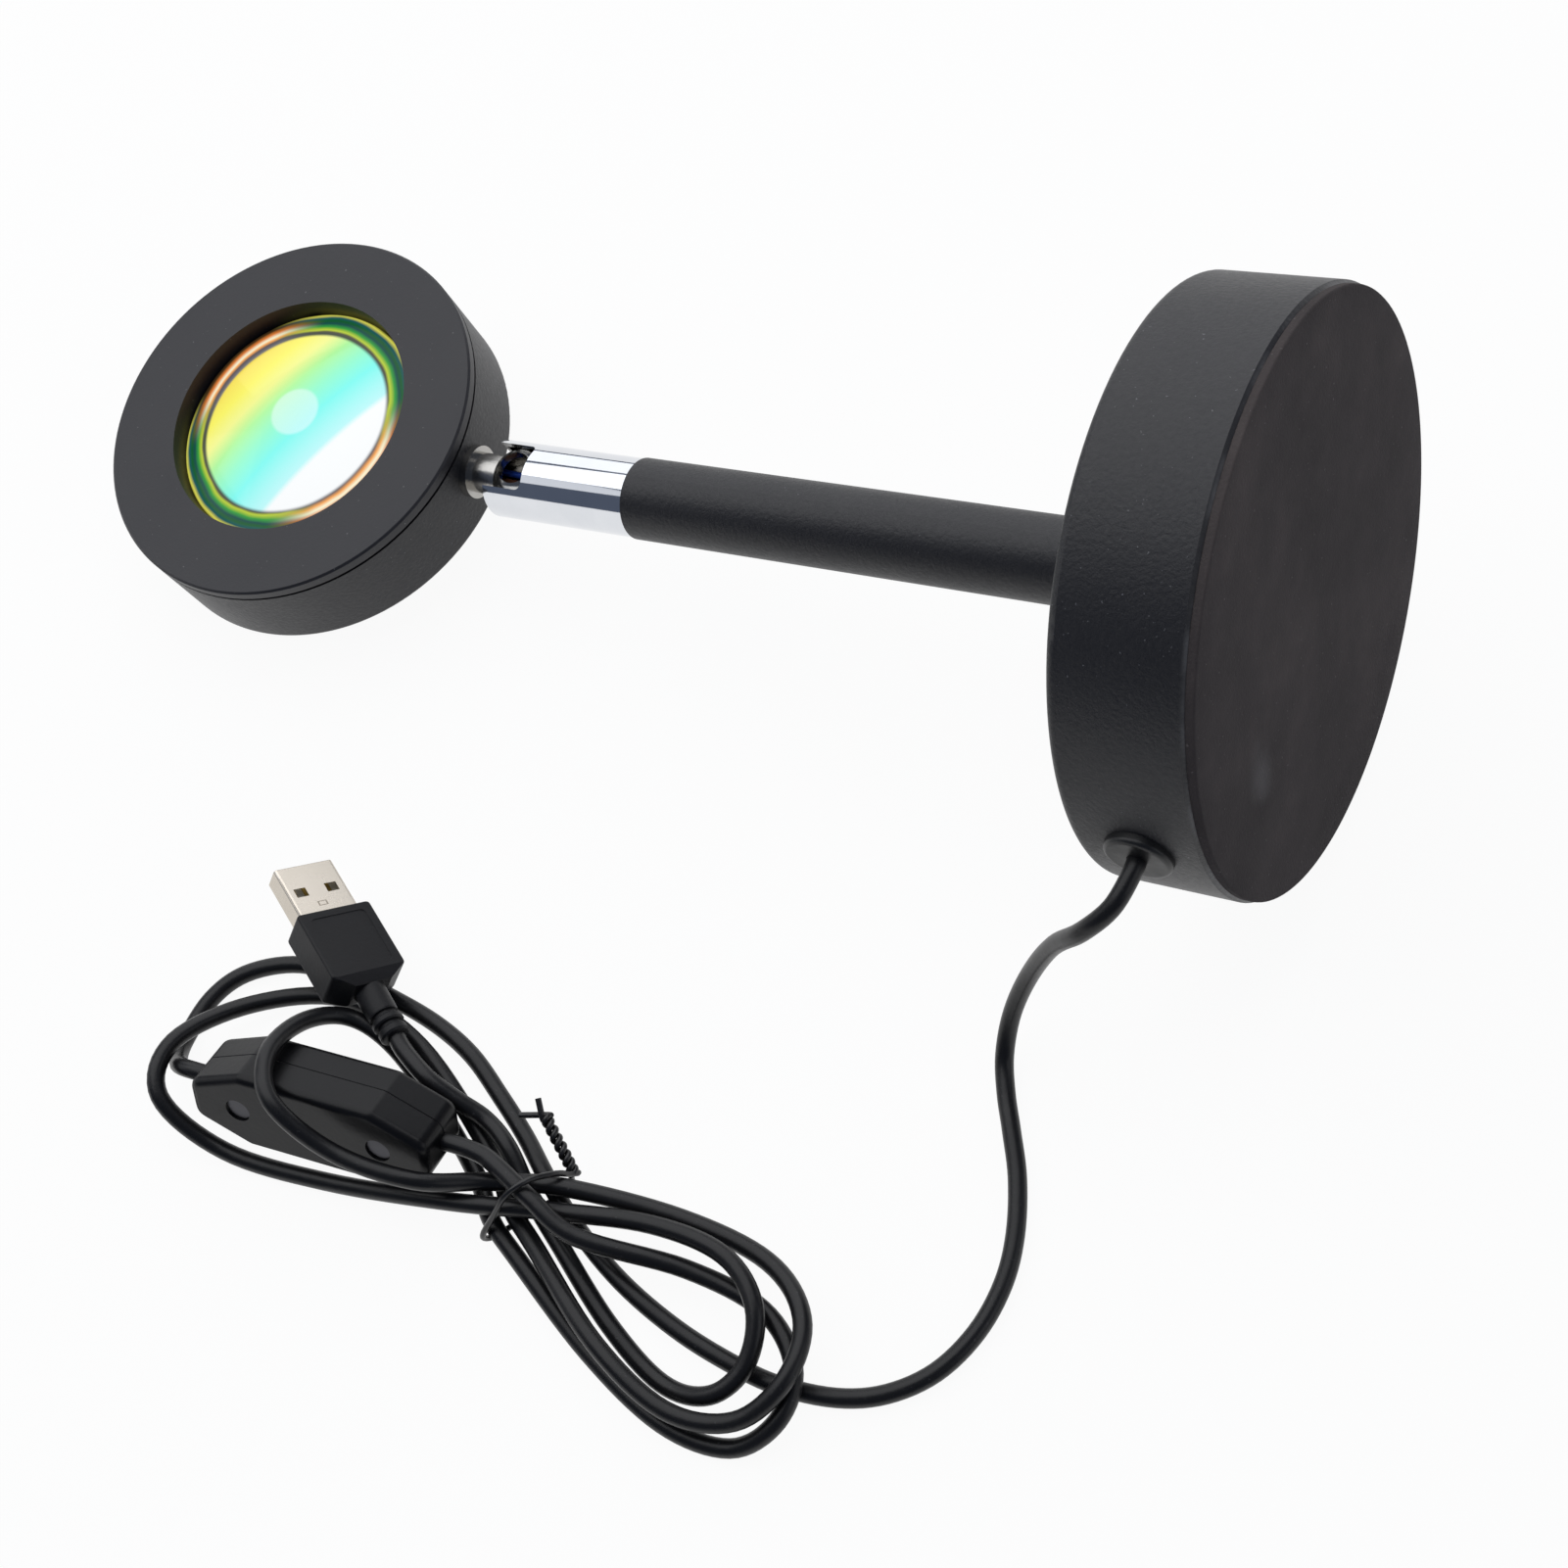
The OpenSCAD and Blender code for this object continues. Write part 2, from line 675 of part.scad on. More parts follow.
module usb_tongue() {
    color("#ececea") plug() translate([-shell_w / 2 + shell_wall, 0.6, -shell_t / 2 + shell_wall])
        cube([shell_w - 2 * shell_wall, shell_l + root_l - 0.6, 1.8]);
}

module usb_contacts() {
    color("#c9a64a") plug() for (x = [-3.5, -1, 1, 3.5])
        translate([x - 0.5, 1.4, -shell_t / 2 + shell_wall + 1.8]) cube([1, 9, 0.2]);
}

module usb_overmold() {
    w = grip_w / 2;
    t = grip_t / 2;
    y0 = shell_l;
    y1 = shell_l + grip_l;
    color("#121214") plug() difference() {
        union() {
            intersection() {
                translate([0, 0, -t]) linear_extrude(2 * t) polygon([
                    [-w, y0], [w, y0], [w, y1], [relief_r + 0.6, y1 + bevel_l],
                    [-relief_r - 0.6, y1 + bevel_l], [-w, y1]]);
                rotate([90, 0, 90]) linear_extrude(2 * w, center = true) polygon([
                    [y0, -t], [y0, t], [y1, t], [y1 + bevel_l, relief_r],
                    [y1 + bevel_l, -relief_r], [y1, -t]]);
            }
            translate([0, y1 + bevel_l, 0]) rotate([-90, 0, 0]) {
                cylinder(r1 = relief_r - 0.3, r2 = cord_r + 0.45, h = relief_l);
                for (k = [0 : 3]) translate([0, 0, 1.6 + k * 2.4]) cylinder(r = relief_r - 0.25 * k, h = 1.1);
            }
        }
        translate([-shell_w / 2, y0 - 1, -shell_t / 2]) cube([shell_w, root_l + 1, shell_t]);
    }
}

// ---- loose cord ----
layer = cord_d + 0.55;
floor_c = floor_z + cord_r;
waist_z = floor_c + tie_d + 0.25;

// Smooth line through the given points, a few rings to each stretch
function curve(p, m) = [for (i = [0 : len(p) - 2]) for (k = [0 : m - 1])
    let (a = p[max(i - 1, 0)], b = p[i], c = p[i + 1], d = p[min(i + 2, len(p) - 1)], t = k / m)
    0.5 * (2 * b + (c - a) * t + (2 * a - 5 * b + 4 * c - d) * t * t + (3 * b - a - 3 * c + d) * t * t * t),
    p[len(p) - 1]];
function unit(v) = v / norm(v);
function tangent(p, i) = unit(p[min(i + 1, len(p) - 1)] - p[max(i - 1, 0)]);
function sides(p, i, u) = i == len(p) ? [] :
    let (t = tangent(p, i), w = unit(u - (u * t) * t)) concat([w], sides(p, i + 1, w));
module tube(p, r, n, u) {
    w = sides(p, 0, u);
    rings = [for (i = [0 : len(p) - 1]) let (t = tangent(p, i), v = cross(t, w[i]))
        for (k = [0 : n - 1]) p[i] + r * cos(360 * k / n) * w[i] + r * sin(360 * k / n) * v];
    last = (len(p) - 1) * n;
    polyhedron(rings, concat(
        [for (k = [1 : n - 2]) [0, k, k + 1]],
        [for (k = [1 : n - 2]) [last, last + k + 1, last + k]],
        [for (i = [0 : len(p) - 2]) for (k = [0 : n - 1]) let (a = i * n + k, b = i * n + (k + 1) % n)
            each [[a, a + n, b], [b, a + n, b + n]]]));
}

// Where the switch and the plug stand, as points and directions
function turn_z(v, a) = [v[0] * cos(a) - v[1] * sin(a), v[0] * sin(a) + v[1] * cos(a), v[2]];
switch_axis = turn_z([1, 0, 0], switch_heading);
switch_in = switch_c - switch_axis * switch_l / 2;
switch_out = switch_c + switch_axis * switch_l / 2;
plug_dir = turn_z([0, cos(1), -sin(1)], plug_heading);
plug_up = turn_z([-sin(plug_roll), 0, cos(plug_roll)], plug_heading);
plug_tail = plug_mouth + [0, 0, floor_z] - plug_up * shell_t / 2 + plug_dir * plug_l;

// Lead from the grommet to the switch: x, y and the height of its middle over the table
lead_route = [
    [-13.6, -59.5, 49.4], [-17.4, -63.4, 44.6], [-24, -61.4, 33], [-28.2, -63.6, 20.5],
    [-31, -67.4, 10], [-31, -73, 3.4], [-28.6, -79, 1.65], [-25.4, -84.8, 1.65],
    [-21.4, -92.4, 1.65], [-18.3, -101.5, 1.65], [-17.2, -110, 1.65], [-18.4, -119, 1.65],
    [-22.2, -127.4, 1.65], [-28.4, -133.6, 1.65], [-36, -137.2, 1.65], [-45.9, -138.8, 1.65],
    [-55, -138.3, 1.65], [-66, -136.4, 1.65], [-78, -132.6, 1.65], [-89, -127.1, 1.65],
    [-97.5, -121.2, 3.3], [-105.5, -115.2, 1.65], [-113, -110.2, 1.65], [-122, -104.8, 1.65],
    [-131.5, -101.6, 1.65], [-142.7, -99.8, 1.65], [-153, -98.9, 1.65], [-163, -100.4, 1.65],
    [-171, -105.2, 1.65], [-174.9, -111.9, 1.65], [-175.3, -120.8, 2.2], [-172.7, -125.4, 5.2],
    [-169.1, -126.8, 9]];
lead_path = concat([for (y = [12, 4, 0, -4]) place([0, y - base_r, hole_z])],
    [for (q = lead_route) q + [0, 0, floor_z]],
    [switch_in - switch_axis * cord_d, switch_in]);

// Hank: every lobe leaves the waist on its upper leg and comes back on its lower one.
// start x, y, end x, y, length, width, heading, skew, then the layer at nine even steps
lobes = [
    [-86, -129.6, -97, -135.4, 50.2, 20.2, -11.3, -2.3, [2, 1, 1, 1, 0.85, 0, 0, 0, 0.25]],
    [-110.8, -124.6, -115.7, -131.4, 37.9, -17.6, 165, -5.4, [0, 0.1, 1.3, 2.1, 3.5, 5.05, 5.5, 3.85, 3.1]],
    [-92.5, -122, -94.3, -132.8, 51.6, 24, -13.1, 0.5, [1.4, 1, 1, 1.7, 2, 1.2, 1, 1.1, 0.55]],
    [-110, -120.3, -111, -131.4, 61.3, -29, 167, 11.5, [0, 0.5, 0, 0.6, 2.1, 2, 0.15, 0.15, 1.35]],
    [-92.5, -126.5, -91.5, -130.2, 42.4, 20.6, -10.3, -2.4, [1.4, 1.7, 2, 2, 1.4, 0.8, 0, 0, 0.25]]];
function lobe(q) = [for (i = [0 : 8]) let (t = i / 8, a = 180 * t, u = q[4] * sin(a),
    v = q[5] * sin(a) * cos(a) + q[7] * pow(sin(a), 3))
    [q[0] + (q[2] - q[0]) * t + u * cos(q[6]) - v * sin(q[6]),
     q[1] + (q[3] - q[1]) * t + u * sin(q[6]) + v * cos(q[6]),
     floor_c + layer * q[8][i]]];
hank_path = concat(
    [switch_out, switch_out + switch_axis * cord_d, [-107.4, -122.6, floor_z + 10.6],
     [-103, -124, waist_z + 2.1 * layer], [-96, -126.7, waist_z + 2.1 * layer]],
    lobe(lobes[0]),
    [[-104.2, -131, waist_z]],
    lobe(lobes[1]),
    [[-105.4, -125.8, waist_z + 1.2 * layer]],
    lobe(lobes[2]),
    [[-101.9, -127.8, waist_z]],
    lobe(lobes[3]),
    lobe(lobes[4]),
    [[-99.8, -124.4, waist_z], [-106.3, -118.7, floor_c + 0.85 * layer],
     [-112.5, -115.5, floor_c + 0.9 * layer], [-118.5, -114.5, floor_c + 1.55 * layer],
     [-124, -113.2, floor_c + 2.1 * layer], plug_tail + plug_dir * cord_d, plug_tail]);
lead_rings = curve(lead_path, 2);
hank_rings = curve(hank_path, 3);
function apart(p, skip) = min([for (i = [0 : len(p) - 1 - skip]) for (j = [i + skip : len(p) - 1])
    norm(p[i] - p[j])]) - cord_d;
function between(p, q) = min([for (a = p) for (b = q) norm(a - b)]) - cord_d;
fine_hank = curve(hank_path, 12);
fine_lead = curve(lead_path, 8);
echo(lean = lean, floor_z = floor_z);
echo(self_gap = apart(fine_hank, 30), lead_gap = between(fine_hank, fine_lead));

module cord_lead() color("#151517") tube(lead_rings, cord_r, 8, [0, 0, 1]);
module cord_hank() color("#151517") tube(hank_rings, cord_r, 6, [0, 0, 1]);

// Wire tie: once round the waist of the hank, its two ends twisted and left free
tie_r = tie_d / 2;
tie_mid = [-98.6, -126.9];
tie_heading = 54;
tie_turns = 4;
function tie_at(u, z) = [tie_mid[0] + u * cos(tie_heading), tie_mid[1] + u * sin(tie_heading), z];
tie_knot = tie_at(9.8, 5);
pair_line = curve([tie_knot, tie_knot + [-2, 1.9, 1.8], tie_knot + [-5, 4.4, 3.2],
    tie_knot + [-7.8, 6.8, 4.2]], 8);
tie_loop = [tie_at(9, 6.8), tie_at(7.5, 9.6), tie_at(4.2, 12.8), tie_at(1, 14), tie_at(-2.2, 12.6),
    tie_at(-5.6, 8.2), tie_at(-8.5, 4.8), tie_at(-9.2, 2.6), tie_at(-7.8, 0.8), tie_at(-4, tie_r),
    tie_at(0, tie_r), tie_at(4, tie_r), tie_at(7.2, 0.8), tie_at(8.5, 2.4)];
function strand(s) = [for (i = [0 : len(pair_line) - 1])
    let (t = tangent(pair_line, i), w = unit(cross(t, [0, 0, 1])), v = cross(t, w),
         a = 180 * s + 360 * tie_turns * i / (len(pair_line) - 1))
    pair_line[i] + 0.62 * (cos(a) * w + sin(a) * v)];
tie_end_a = [-105.4, -113.4, 8.6];
tie_end_b = [-102.9, -109.9, 10.4];
strand_a = strand(0);
tie_path = [for (q = concat([tie_end_a], [for (i = [len(strand_a) - 1 : -1 : 0]) strand_a[i]],
    curve(tie_loop, 2), strand(1), [tie_end_b])) q + [0, 0, floor_z]];
module twist_tie() color("#202022") tube(tie_path, tie_r, 6, [0, 0, 1]);

foam_pad();
base_shell();
base_weight();
cord_grommet();
cord_stop();
stem_tube();
stem_bush();
stem_nipple();
stem_washer();
stem_nut();
stem_wires();
swivel_sleeve();
ball_seat();
clip_ring();
swivel_neck();
neck_nut();
neck_wires();
head_housing();
front_bezel();
lens();
dichroic_filter();
lens_spacer();
led_board();
led_chip();
board_screws();
cord_lead();
cord_hank();
twist_tie();
switch_bottom_shell();
switch_top_shell();
switch_rocker();
switch_screws();
switch_contacts();
usb_overmold();
usb_shell();
usb_tongue();
usb_contacts();
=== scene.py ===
from math import cos, pi, radians, sin, sqrt, tan
import bmesh
import bpy
from mathutils import Matrix, Vector


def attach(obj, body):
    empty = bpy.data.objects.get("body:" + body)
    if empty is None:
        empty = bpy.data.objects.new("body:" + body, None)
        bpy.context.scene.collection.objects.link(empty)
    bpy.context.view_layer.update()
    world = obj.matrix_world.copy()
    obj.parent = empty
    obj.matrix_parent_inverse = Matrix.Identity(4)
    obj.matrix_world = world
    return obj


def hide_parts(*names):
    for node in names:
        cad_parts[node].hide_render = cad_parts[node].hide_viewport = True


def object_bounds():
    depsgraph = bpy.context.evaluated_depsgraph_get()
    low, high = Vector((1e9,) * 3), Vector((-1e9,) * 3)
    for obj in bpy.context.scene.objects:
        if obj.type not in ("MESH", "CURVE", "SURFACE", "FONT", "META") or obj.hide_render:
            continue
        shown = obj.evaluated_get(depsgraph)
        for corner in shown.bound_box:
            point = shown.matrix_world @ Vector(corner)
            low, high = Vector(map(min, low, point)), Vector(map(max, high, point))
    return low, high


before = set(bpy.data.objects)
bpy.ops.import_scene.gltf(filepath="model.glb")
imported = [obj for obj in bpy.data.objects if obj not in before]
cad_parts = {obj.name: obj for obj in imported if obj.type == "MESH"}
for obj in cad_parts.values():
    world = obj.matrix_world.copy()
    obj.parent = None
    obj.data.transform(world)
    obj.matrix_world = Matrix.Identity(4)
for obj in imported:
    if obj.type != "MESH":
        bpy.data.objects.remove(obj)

cad_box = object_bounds()

# ---- Camera ----
# A long lens looks down on the lamp from the side of the cord's exit, so that the
# foam of the base, the front of the head and the whole cord are seen at once.
mm = 0.001
camera_place = Vector((56.94, -193.06, 334.2)) * mm
camera_turn = [radians(a) for a in (27.2, 10.49, 23.535)]
lens_length = 54.57
film_width = 36
bpy.ops.object.camera_add(location=camera_place, rotation=camera_turn)
camera = bpy.context.object
camera.data.lens = lens_length
camera.data.sensor_width = film_width
camera.data.clip_start = 0.01
bpy.context.scene.camera = camera

# ---- Table and light ----
# The lamp lies on a white sheet under plain studio light: broad soft boxes above and
# behind it, two weaker ones at its sides, and a dark room in front.
table_z = cad_box[0][2]
sheet_size = 4
white_share = 0.94
room_blue = (0.3, 0.36, 0.5, 1)
room_strength = 0.3
lamp_middle = (-0.1, 0, 0)

# A Value is one socket in a material, and Python's own signs add its Math nodes.
# A Finish is one material on a Principled shader. Its patterns are in millimetres, on
# the object or in the frame of one of its pieces.


class Value:
    def __init__(self, finish, socket):
        self.finish = finish
        self.socket = socket

    def maths(self, operation, *others):
        return self.finish.node("Math", {"operation": operation},
                                dict(enumerate((self, *others))))

    def __add__(self, other):
        return self.maths("ADD", other)

    def __sub__(self, other):
        return self.maths("SUBTRACT", other)

    def __rsub__(self, other):
        return self.finish.node("Math", {"operation": "SUBTRACT"}, {0: other, 1: self})

    def __mul__(self, other):
        return self.maths("MULTIPLY", other)

    def __truediv__(self, other):
        return self.maths("DIVIDE", other)

    def __pow__(self, other):
        return self.maths("POWER", other)

    def root(self):
        return self.maths("SQRT")

    def size(self):
        return self.maths("ABSOLUTE")

    __radd__ = __add__
    __rmul__ = __mul__

    def between(self, low, high):
        """0 below low, 1 above high and smooth between them"""
        return self.finish.node("MapRange", {"interpolation_type": "SMOOTHSTEP"},
                                {"Value": self, "From Min": low, "From Max": high})


class Finish:
    def __init__(self, name, roughness, metal=0, frame_of=Matrix()):
        self.material = bpy.data.materials.new(name)
        self.material.use_nodes = True
        self.tree = self.material.node_tree
        self.shader = self.tree.nodes["Principled BSDF"]
        self.shader.inputs["Metallic"].default_value = metal
        self.shader.inputs["Roughness"].default_value = roughness
        back = frame_of.inverted()
        self.spot = self.node("Mapping", {}, {
            "Vector": self.node("TexCoord", {}, {}, "Object"),
            "Location": back.translation / mm,
            "Rotation": back.to_euler(),
            "Scale": [1 / mm] * 3})

    def node(self, kind, settings, sockets, output=0):
        made = self.tree.nodes.new("ShaderNode" + kind)
        for key, value in settings.items():
            if key == "stops":
                ramp = made.color_ramp.elements
                while len(ramp) < len(value):
                    ramp.new(0.5)
                for stop, (place, colour) in zip(ramp, value):
                    stop.position = place
                    stop.color = (*colour, 1)
            else:
                setattr(made, key, value)
        for key, value in sockets.items():
            self.plug(made.inputs[key], value)
        return Value(self, made.outputs[output])

    def plug(self, socket, value):
        if isinstance(value, Value):
            self.tree.links.new(value.socket, socket)
        elif socket.type == "RGBA":
            socket.default_value = (*value, 1)
        else:
            socket.default_value = value

    def set(self, **sockets):
        for key, value in sockets.items():
            self.plug(self.shader.inputs[key.replace("_", " ")], value)
        return self

    def noise(self, size, detail=2, roughness=0.5):
        """Noise whose lumps are about size millimetres wide"""
        return self.node("TexNoise", {}, {"Vector": self.spot, "Scale": 0.5 / size,
                                          "Detail": detail, "Roughness": roughness})

    def mix(self, share, one, other):
        return self.node("Mix", {"data_type": "RGBA"}, {0: share, 6: one, 7: other}, 2)

    def ramp(self, value, *stops):
        return self.node("ValToRGB", {"stops": stops}, {"Fac": value})

    def bump(self, height, depth, share=1.0):
        """Relief whose full height is depth millimetres"""
        return self.set(Normal=self.node("Bump", {}, {"Height": height, "Distance": depth * mm,
                                                      "Strength": share}))

    def axes(self):
        split = self.node("SeparateXYZ", {}, {"Vector": self.spot})
        return [Value(self, split.socket.node.outputs[i]) for i in range(3)]

    def cover(self, *objects):
        for thing in objects:
            if isinstance(thing, str):
                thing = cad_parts[thing]
            thing.data.materials.clear()
            thing.data.materials.append(self.material)
        return self


def rgb(*levels):
    """Linear colour from the 0 to 255 levels that an eye or a picture shows"""
    return [((v / 255 + 0.055) / 1.055) ** 2.4 for v in levels]


bpy.ops.mesh.primitive_plane_add(size=sheet_size, location=(0, 0, table_z))
sheet = bpy.context.object
sheet.name = "table_sheet"
paper = Finish("white_sheet", roughness=0.9)
paper.set(Base_Color=rgb(247, 247, 247))
glow = paper.node("Emission", {}, {"Color": (1, 1, 1), "Strength": 1})
seen = sum(paper.node("LightPath", {}, {}, ray)
           for ray in ("Is Camera Ray", "Is Glossy Ray", "Is Transmission Ray"))
lit = Value(paper, paper.shader.outputs[0])
shown = paper.node("MixShader", {}, {0: seen * white_share, 1: lit, 2: glow})
paper.plug(paper.tree.nodes["Material Output"].inputs["Surface"], shown)
paper.cover(sheet)

world = bpy.data.worlds.new("studio")
bpy.context.scene.world = world
world.use_nodes = True
room = world.node_tree.nodes["Background"]
room.inputs["Color"].default_value = room_blue
room.inputs["Strength"].default_value = room_strength
bpy.context.scene.view_settings.view_transform = "Standard"


def soft_box(name, place, width, height, power):
    """An area light, in metres and watts, that faces the lamp"""
    bpy.ops.object.light_add(type="AREA", location=place)
    box = bpy.context.object
    box.name = name
    box.data.shape = "RECTANGLE"
    box.data.size = width
    box.data.size_y = height
    box.data.energy = power
    box.rotation_euler = (Vector(lamp_middle) - box.location).to_track_quat("-Z", "Y").to_euler()


soft_box("top_box", (-0.5, 0.35, 1.05), 2.0, 1.3, 13)
soft_box("back_box", (-0.8, 1.3, 0.5), 2.6, 0.9, 9)
soft_box("left_box", (-1.5, -0.3, 0.6), 1.0, 0.9, 2)
soft_box("right_box", (1.2, 0.1, 0.6), 1.2, 0.9, 2.5)

# ---- Base ----
# A deep pressed steel cup, powder coated in fine black grain. Its lower edge is worn
# in places, and an iron weight lies inside it behind the foam.
pad_t = 1.5
coat_dark = rgb(24, 24, 28)
coat_pale = rgb(31, 31, 36)

# The base and the head both touch the table, so the stem leans
lean = radians(11.729)
lamp = Matrix.Rotation(radians(-90) - lean, 4, "Y")


def powder_coat(name, frame_of, edge_low=None):
    """Black grained coating with pale specks, and with wear just above edge_low"""
    coat = Finish(name, roughness=0.5, frame_of=frame_of)
    grain = coat.noise(0.4, 3, 0.6)
    cloud = coat.noise(9, 2)
    specks = coat.noise(0.3, 1).between(0.74, 0.78) * coat.noise(14, 1).between(0.5, 0.7)
    colour = coat.mix(cloud, coat_dark, coat_pale)
    colour = coat.mix(specks * 0.6, colour, rgb(120, 120, 124))
    if edge_low is not None:
        low = coat.axes()[2] - edge_low
        wear = (1 - low.between(0.1, 0.75)) * coat.noise(5, 4).between(0.36, 0.62)
        colour = coat.mix(wear * 0.8, colour, rgb(92, 92, 94))
    coat.set(Base_Color=colour, Roughness=cloud * 0.1 + grain * 0.2 + 0.32)
    return coat.bump(grain, 0.1)


powder_coat("powder_coat_base", lamp, edge_low=pad_t).cover("base_shell")

iron = Finish("cast_iron_weight", roughness=0.6, metal=0.8)
iron.set(Base_Color=iron.mix(iron.noise(3, 4), rgb(70, 70, 74), rgb(104, 102, 100)))
iron.bump(iron.noise(0.9, 4), 0.15).cover("base_weight")

# ---- Foam pad ----
# A disc of closed-cell foam glued under the base. It is rubbed and dusty, with one
# pale smudge near its edge, and its own edge is soft.
pad_r = 49.5
pad_sides = 160
pad_edge = 0.25
rim_w = 0.5
rim_swell = 0.12
face_rings = (6, 8, 10, 10)


def start():
    """Nothing is selected, so that an operator acts on the new piece alone"""
    bpy.ops.object.select_all(action="DESELECT")


def edit(choose):
    """Edit mode on the active piece with the faces chosen by their middle and normal"""
    bpy.ops.object.mode_set(mode="EDIT")
    bpy.ops.mesh.select_all(action="DESELECT")
    mesh = bmesh.from_edit_mesh(bpy.context.object.data)
    for face in mesh.faces:
        if choose(face.calc_center_median() / mm, face.normal):
            face.select_set(True)
    bmesh.update_edit_mesh(bpy.context.object.data)


def done(name, place, smooth=40):
    """The active piece leaves edit mode, is smoothed and set in its place"""
    bpy.ops.object.mode_set(mode="OBJECT")
    piece = bpy.context.object
    bpy.ops.object.transform_apply()
    bpy.ops.object.shade_smooth_by_angle(angle=radians(smooth))
    piece.name = name
    piece.data.name = name
    piece.data.transform(place)
    return piece


def modify(piece, kind, **settings):
    """The piece takes a modifier, which is applied at once"""
    bpy.context.view_layer.objects.active = piece
    change = piece.modifiers.new(kind.lower(), kind)
    for key, value in settings.items():
        setattr(change, key, value)
    bpy.ops.object.modifier_apply(modifier=change.name)


def mount(piece, body, node):
    """The piece moves with a body and stands for a CAD node, which is hidden"""
    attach(piece, body)
    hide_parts(node)
    return piece


start()
bpy.ops.mesh.primitive_cylinder_add(vertices=pad_sides, radius=pad_r * mm, depth=pad_t * mm,
                                    location=(0, 0, pad_t / 2 * mm))
edit(lambda middle, normal: abs(normal.z) > 0.9 and middle.z < pad_t / 2)
bpy.ops.mesh.inset(thickness=rim_w * mm, depth=rim_swell * mm)
for ring_w in face_rings:
    bpy.ops.mesh.inset(thickness=ring_w * mm, depth=0)
foam_disc = mount(done("foam_disc", Matrix()), "stem_body", "foam_pad")
modify(foam_disc, "BEVEL", width=pad_edge * mm, segments=3, limit_method="ANGLE",
       angle_limit=radians(50))
foam_disc.data.transform(lamp)
foam = Finish("closed_cell_foam", roughness=0.95, frame_of=lamp)
cells = foam.noise(0.28, 2, 0.6)
rub = foam.noise(16, 4, 0.62)
lint = foam.noise(0.35, 1).between(0.74, 0.78)
foam_x, foam_y = foam.axes()[:2]
stray = foam.noise(3, 2) * 5 - 2.5
smudge_x = (foam_x + 4 + stray) * 0.6
smudge_y = foam_y + 31 + stray
smudge = 1 - (smudge_x ** 2 + smudge_y ** 2).root().between(0, 5)
colour = foam.ramp(rub, (0.3, rgb(58, 54, 54)), (0.5, rgb(69, 64, 64)), (0.72, rgb(82, 76, 75)))
colour = foam.mix(smudge * 0.45, colour, rgb(112, 110, 110))
colour = foam.mix(lint * 0.5, colour, rgb(118, 114, 112))
foam.set(Base_Color=colour, Roughness=rub * 0.1 + 0.86)
foam.shader.inputs["Specular IOR Level"].default_value = 0.2
foam.bump(cells, 0.12).cover(foam_disc)

# ---- Cord hole ----
# A moulded black rubber grommet snaps into the wall of the base. A dark nylon tie round
# the cord inside it takes any pull, and the head's lens spacer is of the same nylon.
rubber = Finish("black_rubber", roughness=0.42)
rubber.set(Base_Color=rubber.mix(rubber.noise(4, 3), rgb(17, 17, 18), rgb(25, 25, 27)),
           Roughness=rubber.noise(2, 2) * 0.2 + 0.32)
rubber.bump(rubber.noise(0.8, 2), 0.03).cover("cord_grommet")
dark_nylon = Finish("dark_nylon", roughness=0.5)
dark_nylon.set(Base_Color=dark_nylon.mix(dark_nylon.noise(1, 2), rgb(22, 22, 22), rgb(34, 34, 34)))
dark_nylon.cover("cord_stop", "lens_spacer")

# ---- Stem ----
# A steel tube in the base's black coating. A threaded brass nipple screws into a bush
# in its foot, and a washer and a nut of plated steel hold that under the base's top.
powder_coat("powder_coat_stem", lamp).cover("stem_tube")


def metal(name, dark, pale, rough, scratch=0.0):
    """Plated or bare metal, clouded from dark to pale, with fine scratches"""
    plate = Finish(name, roughness=rough, metal=1)
    cloud = plate.noise(2.5, 4)
    plate.set(Base_Color=plate.mix(cloud, dark, pale), Roughness=cloud * 0.1 + rough)
    if scratch:
        plate.bump(plate.noise(0.25, 2), 0.02, scratch)
    return plate


metal("plated_steel", rgb(140, 140, 146), rgb(176, 176, 180), 0.28, 0.5).cover(
    "stem_bush", "stem_washer", "stem_nut", "neck_nut", "board_screws", "clip_ring")
metal("brass", rgb(170, 148, 84), rgb(198, 176, 108), 0.3, 0.4).cover(
    "stem_nipple", "switch_contacts", "usb_contacts")

# ---- Swivel ----
# A chromed sleeve turns on the stem. It holds a hollow nickelled ball against a ring of
# pale nylon. The ball's neck carries the head, and two thin wires pass through its eye.
sleeve_turn = radians(7)
swivel = lamp @ Matrix.Rotation(-sleeve_turn, 4, "Z")
chrome = Finish("chrome", roughness=0.05, metal=1, frame_of=swivel)
haze = chrome.noise(3, 3)
chrome.set(Base_Color=chrome.mix(haze, rgb(214, 217, 222), rgb(228, 230, 234)),
           Roughness=haze * 0.06 + 0.03)
chrome.cover("swivel_sleeve")
metal("nickel", rgb(150, 148, 144), rgb(196, 194, 190), 0.16, 0.7).cover("swivel_neck")
nylon = Finish("nylon", roughness=0.45)
nylon.set(Base_Color=nylon.mix(nylon.noise(2, 2), rgb(214, 208, 190), rgb(232, 228, 214)))
nylon.cover("ball_seat", "usb_tongue")
wires = Finish("wire_insulation", roughness=0.35, frame_of=swivel)
side = wires.axes()[1].between(-0.05, 0.05)
wires.set(Base_Color=wires.mix(side, rgb(96, 58, 36), rgb(38, 76, 176)))
wires.cover("neck_wires", "stem_wires")

# ---- Head ----
# A flat round pod. Its front ring is smoother than the coated body behind the groove,
# and inside are the light board, its chip and the coloured filter.
neck_tilt = radians(6)
pivot_h = 160
head_reach = 51.7

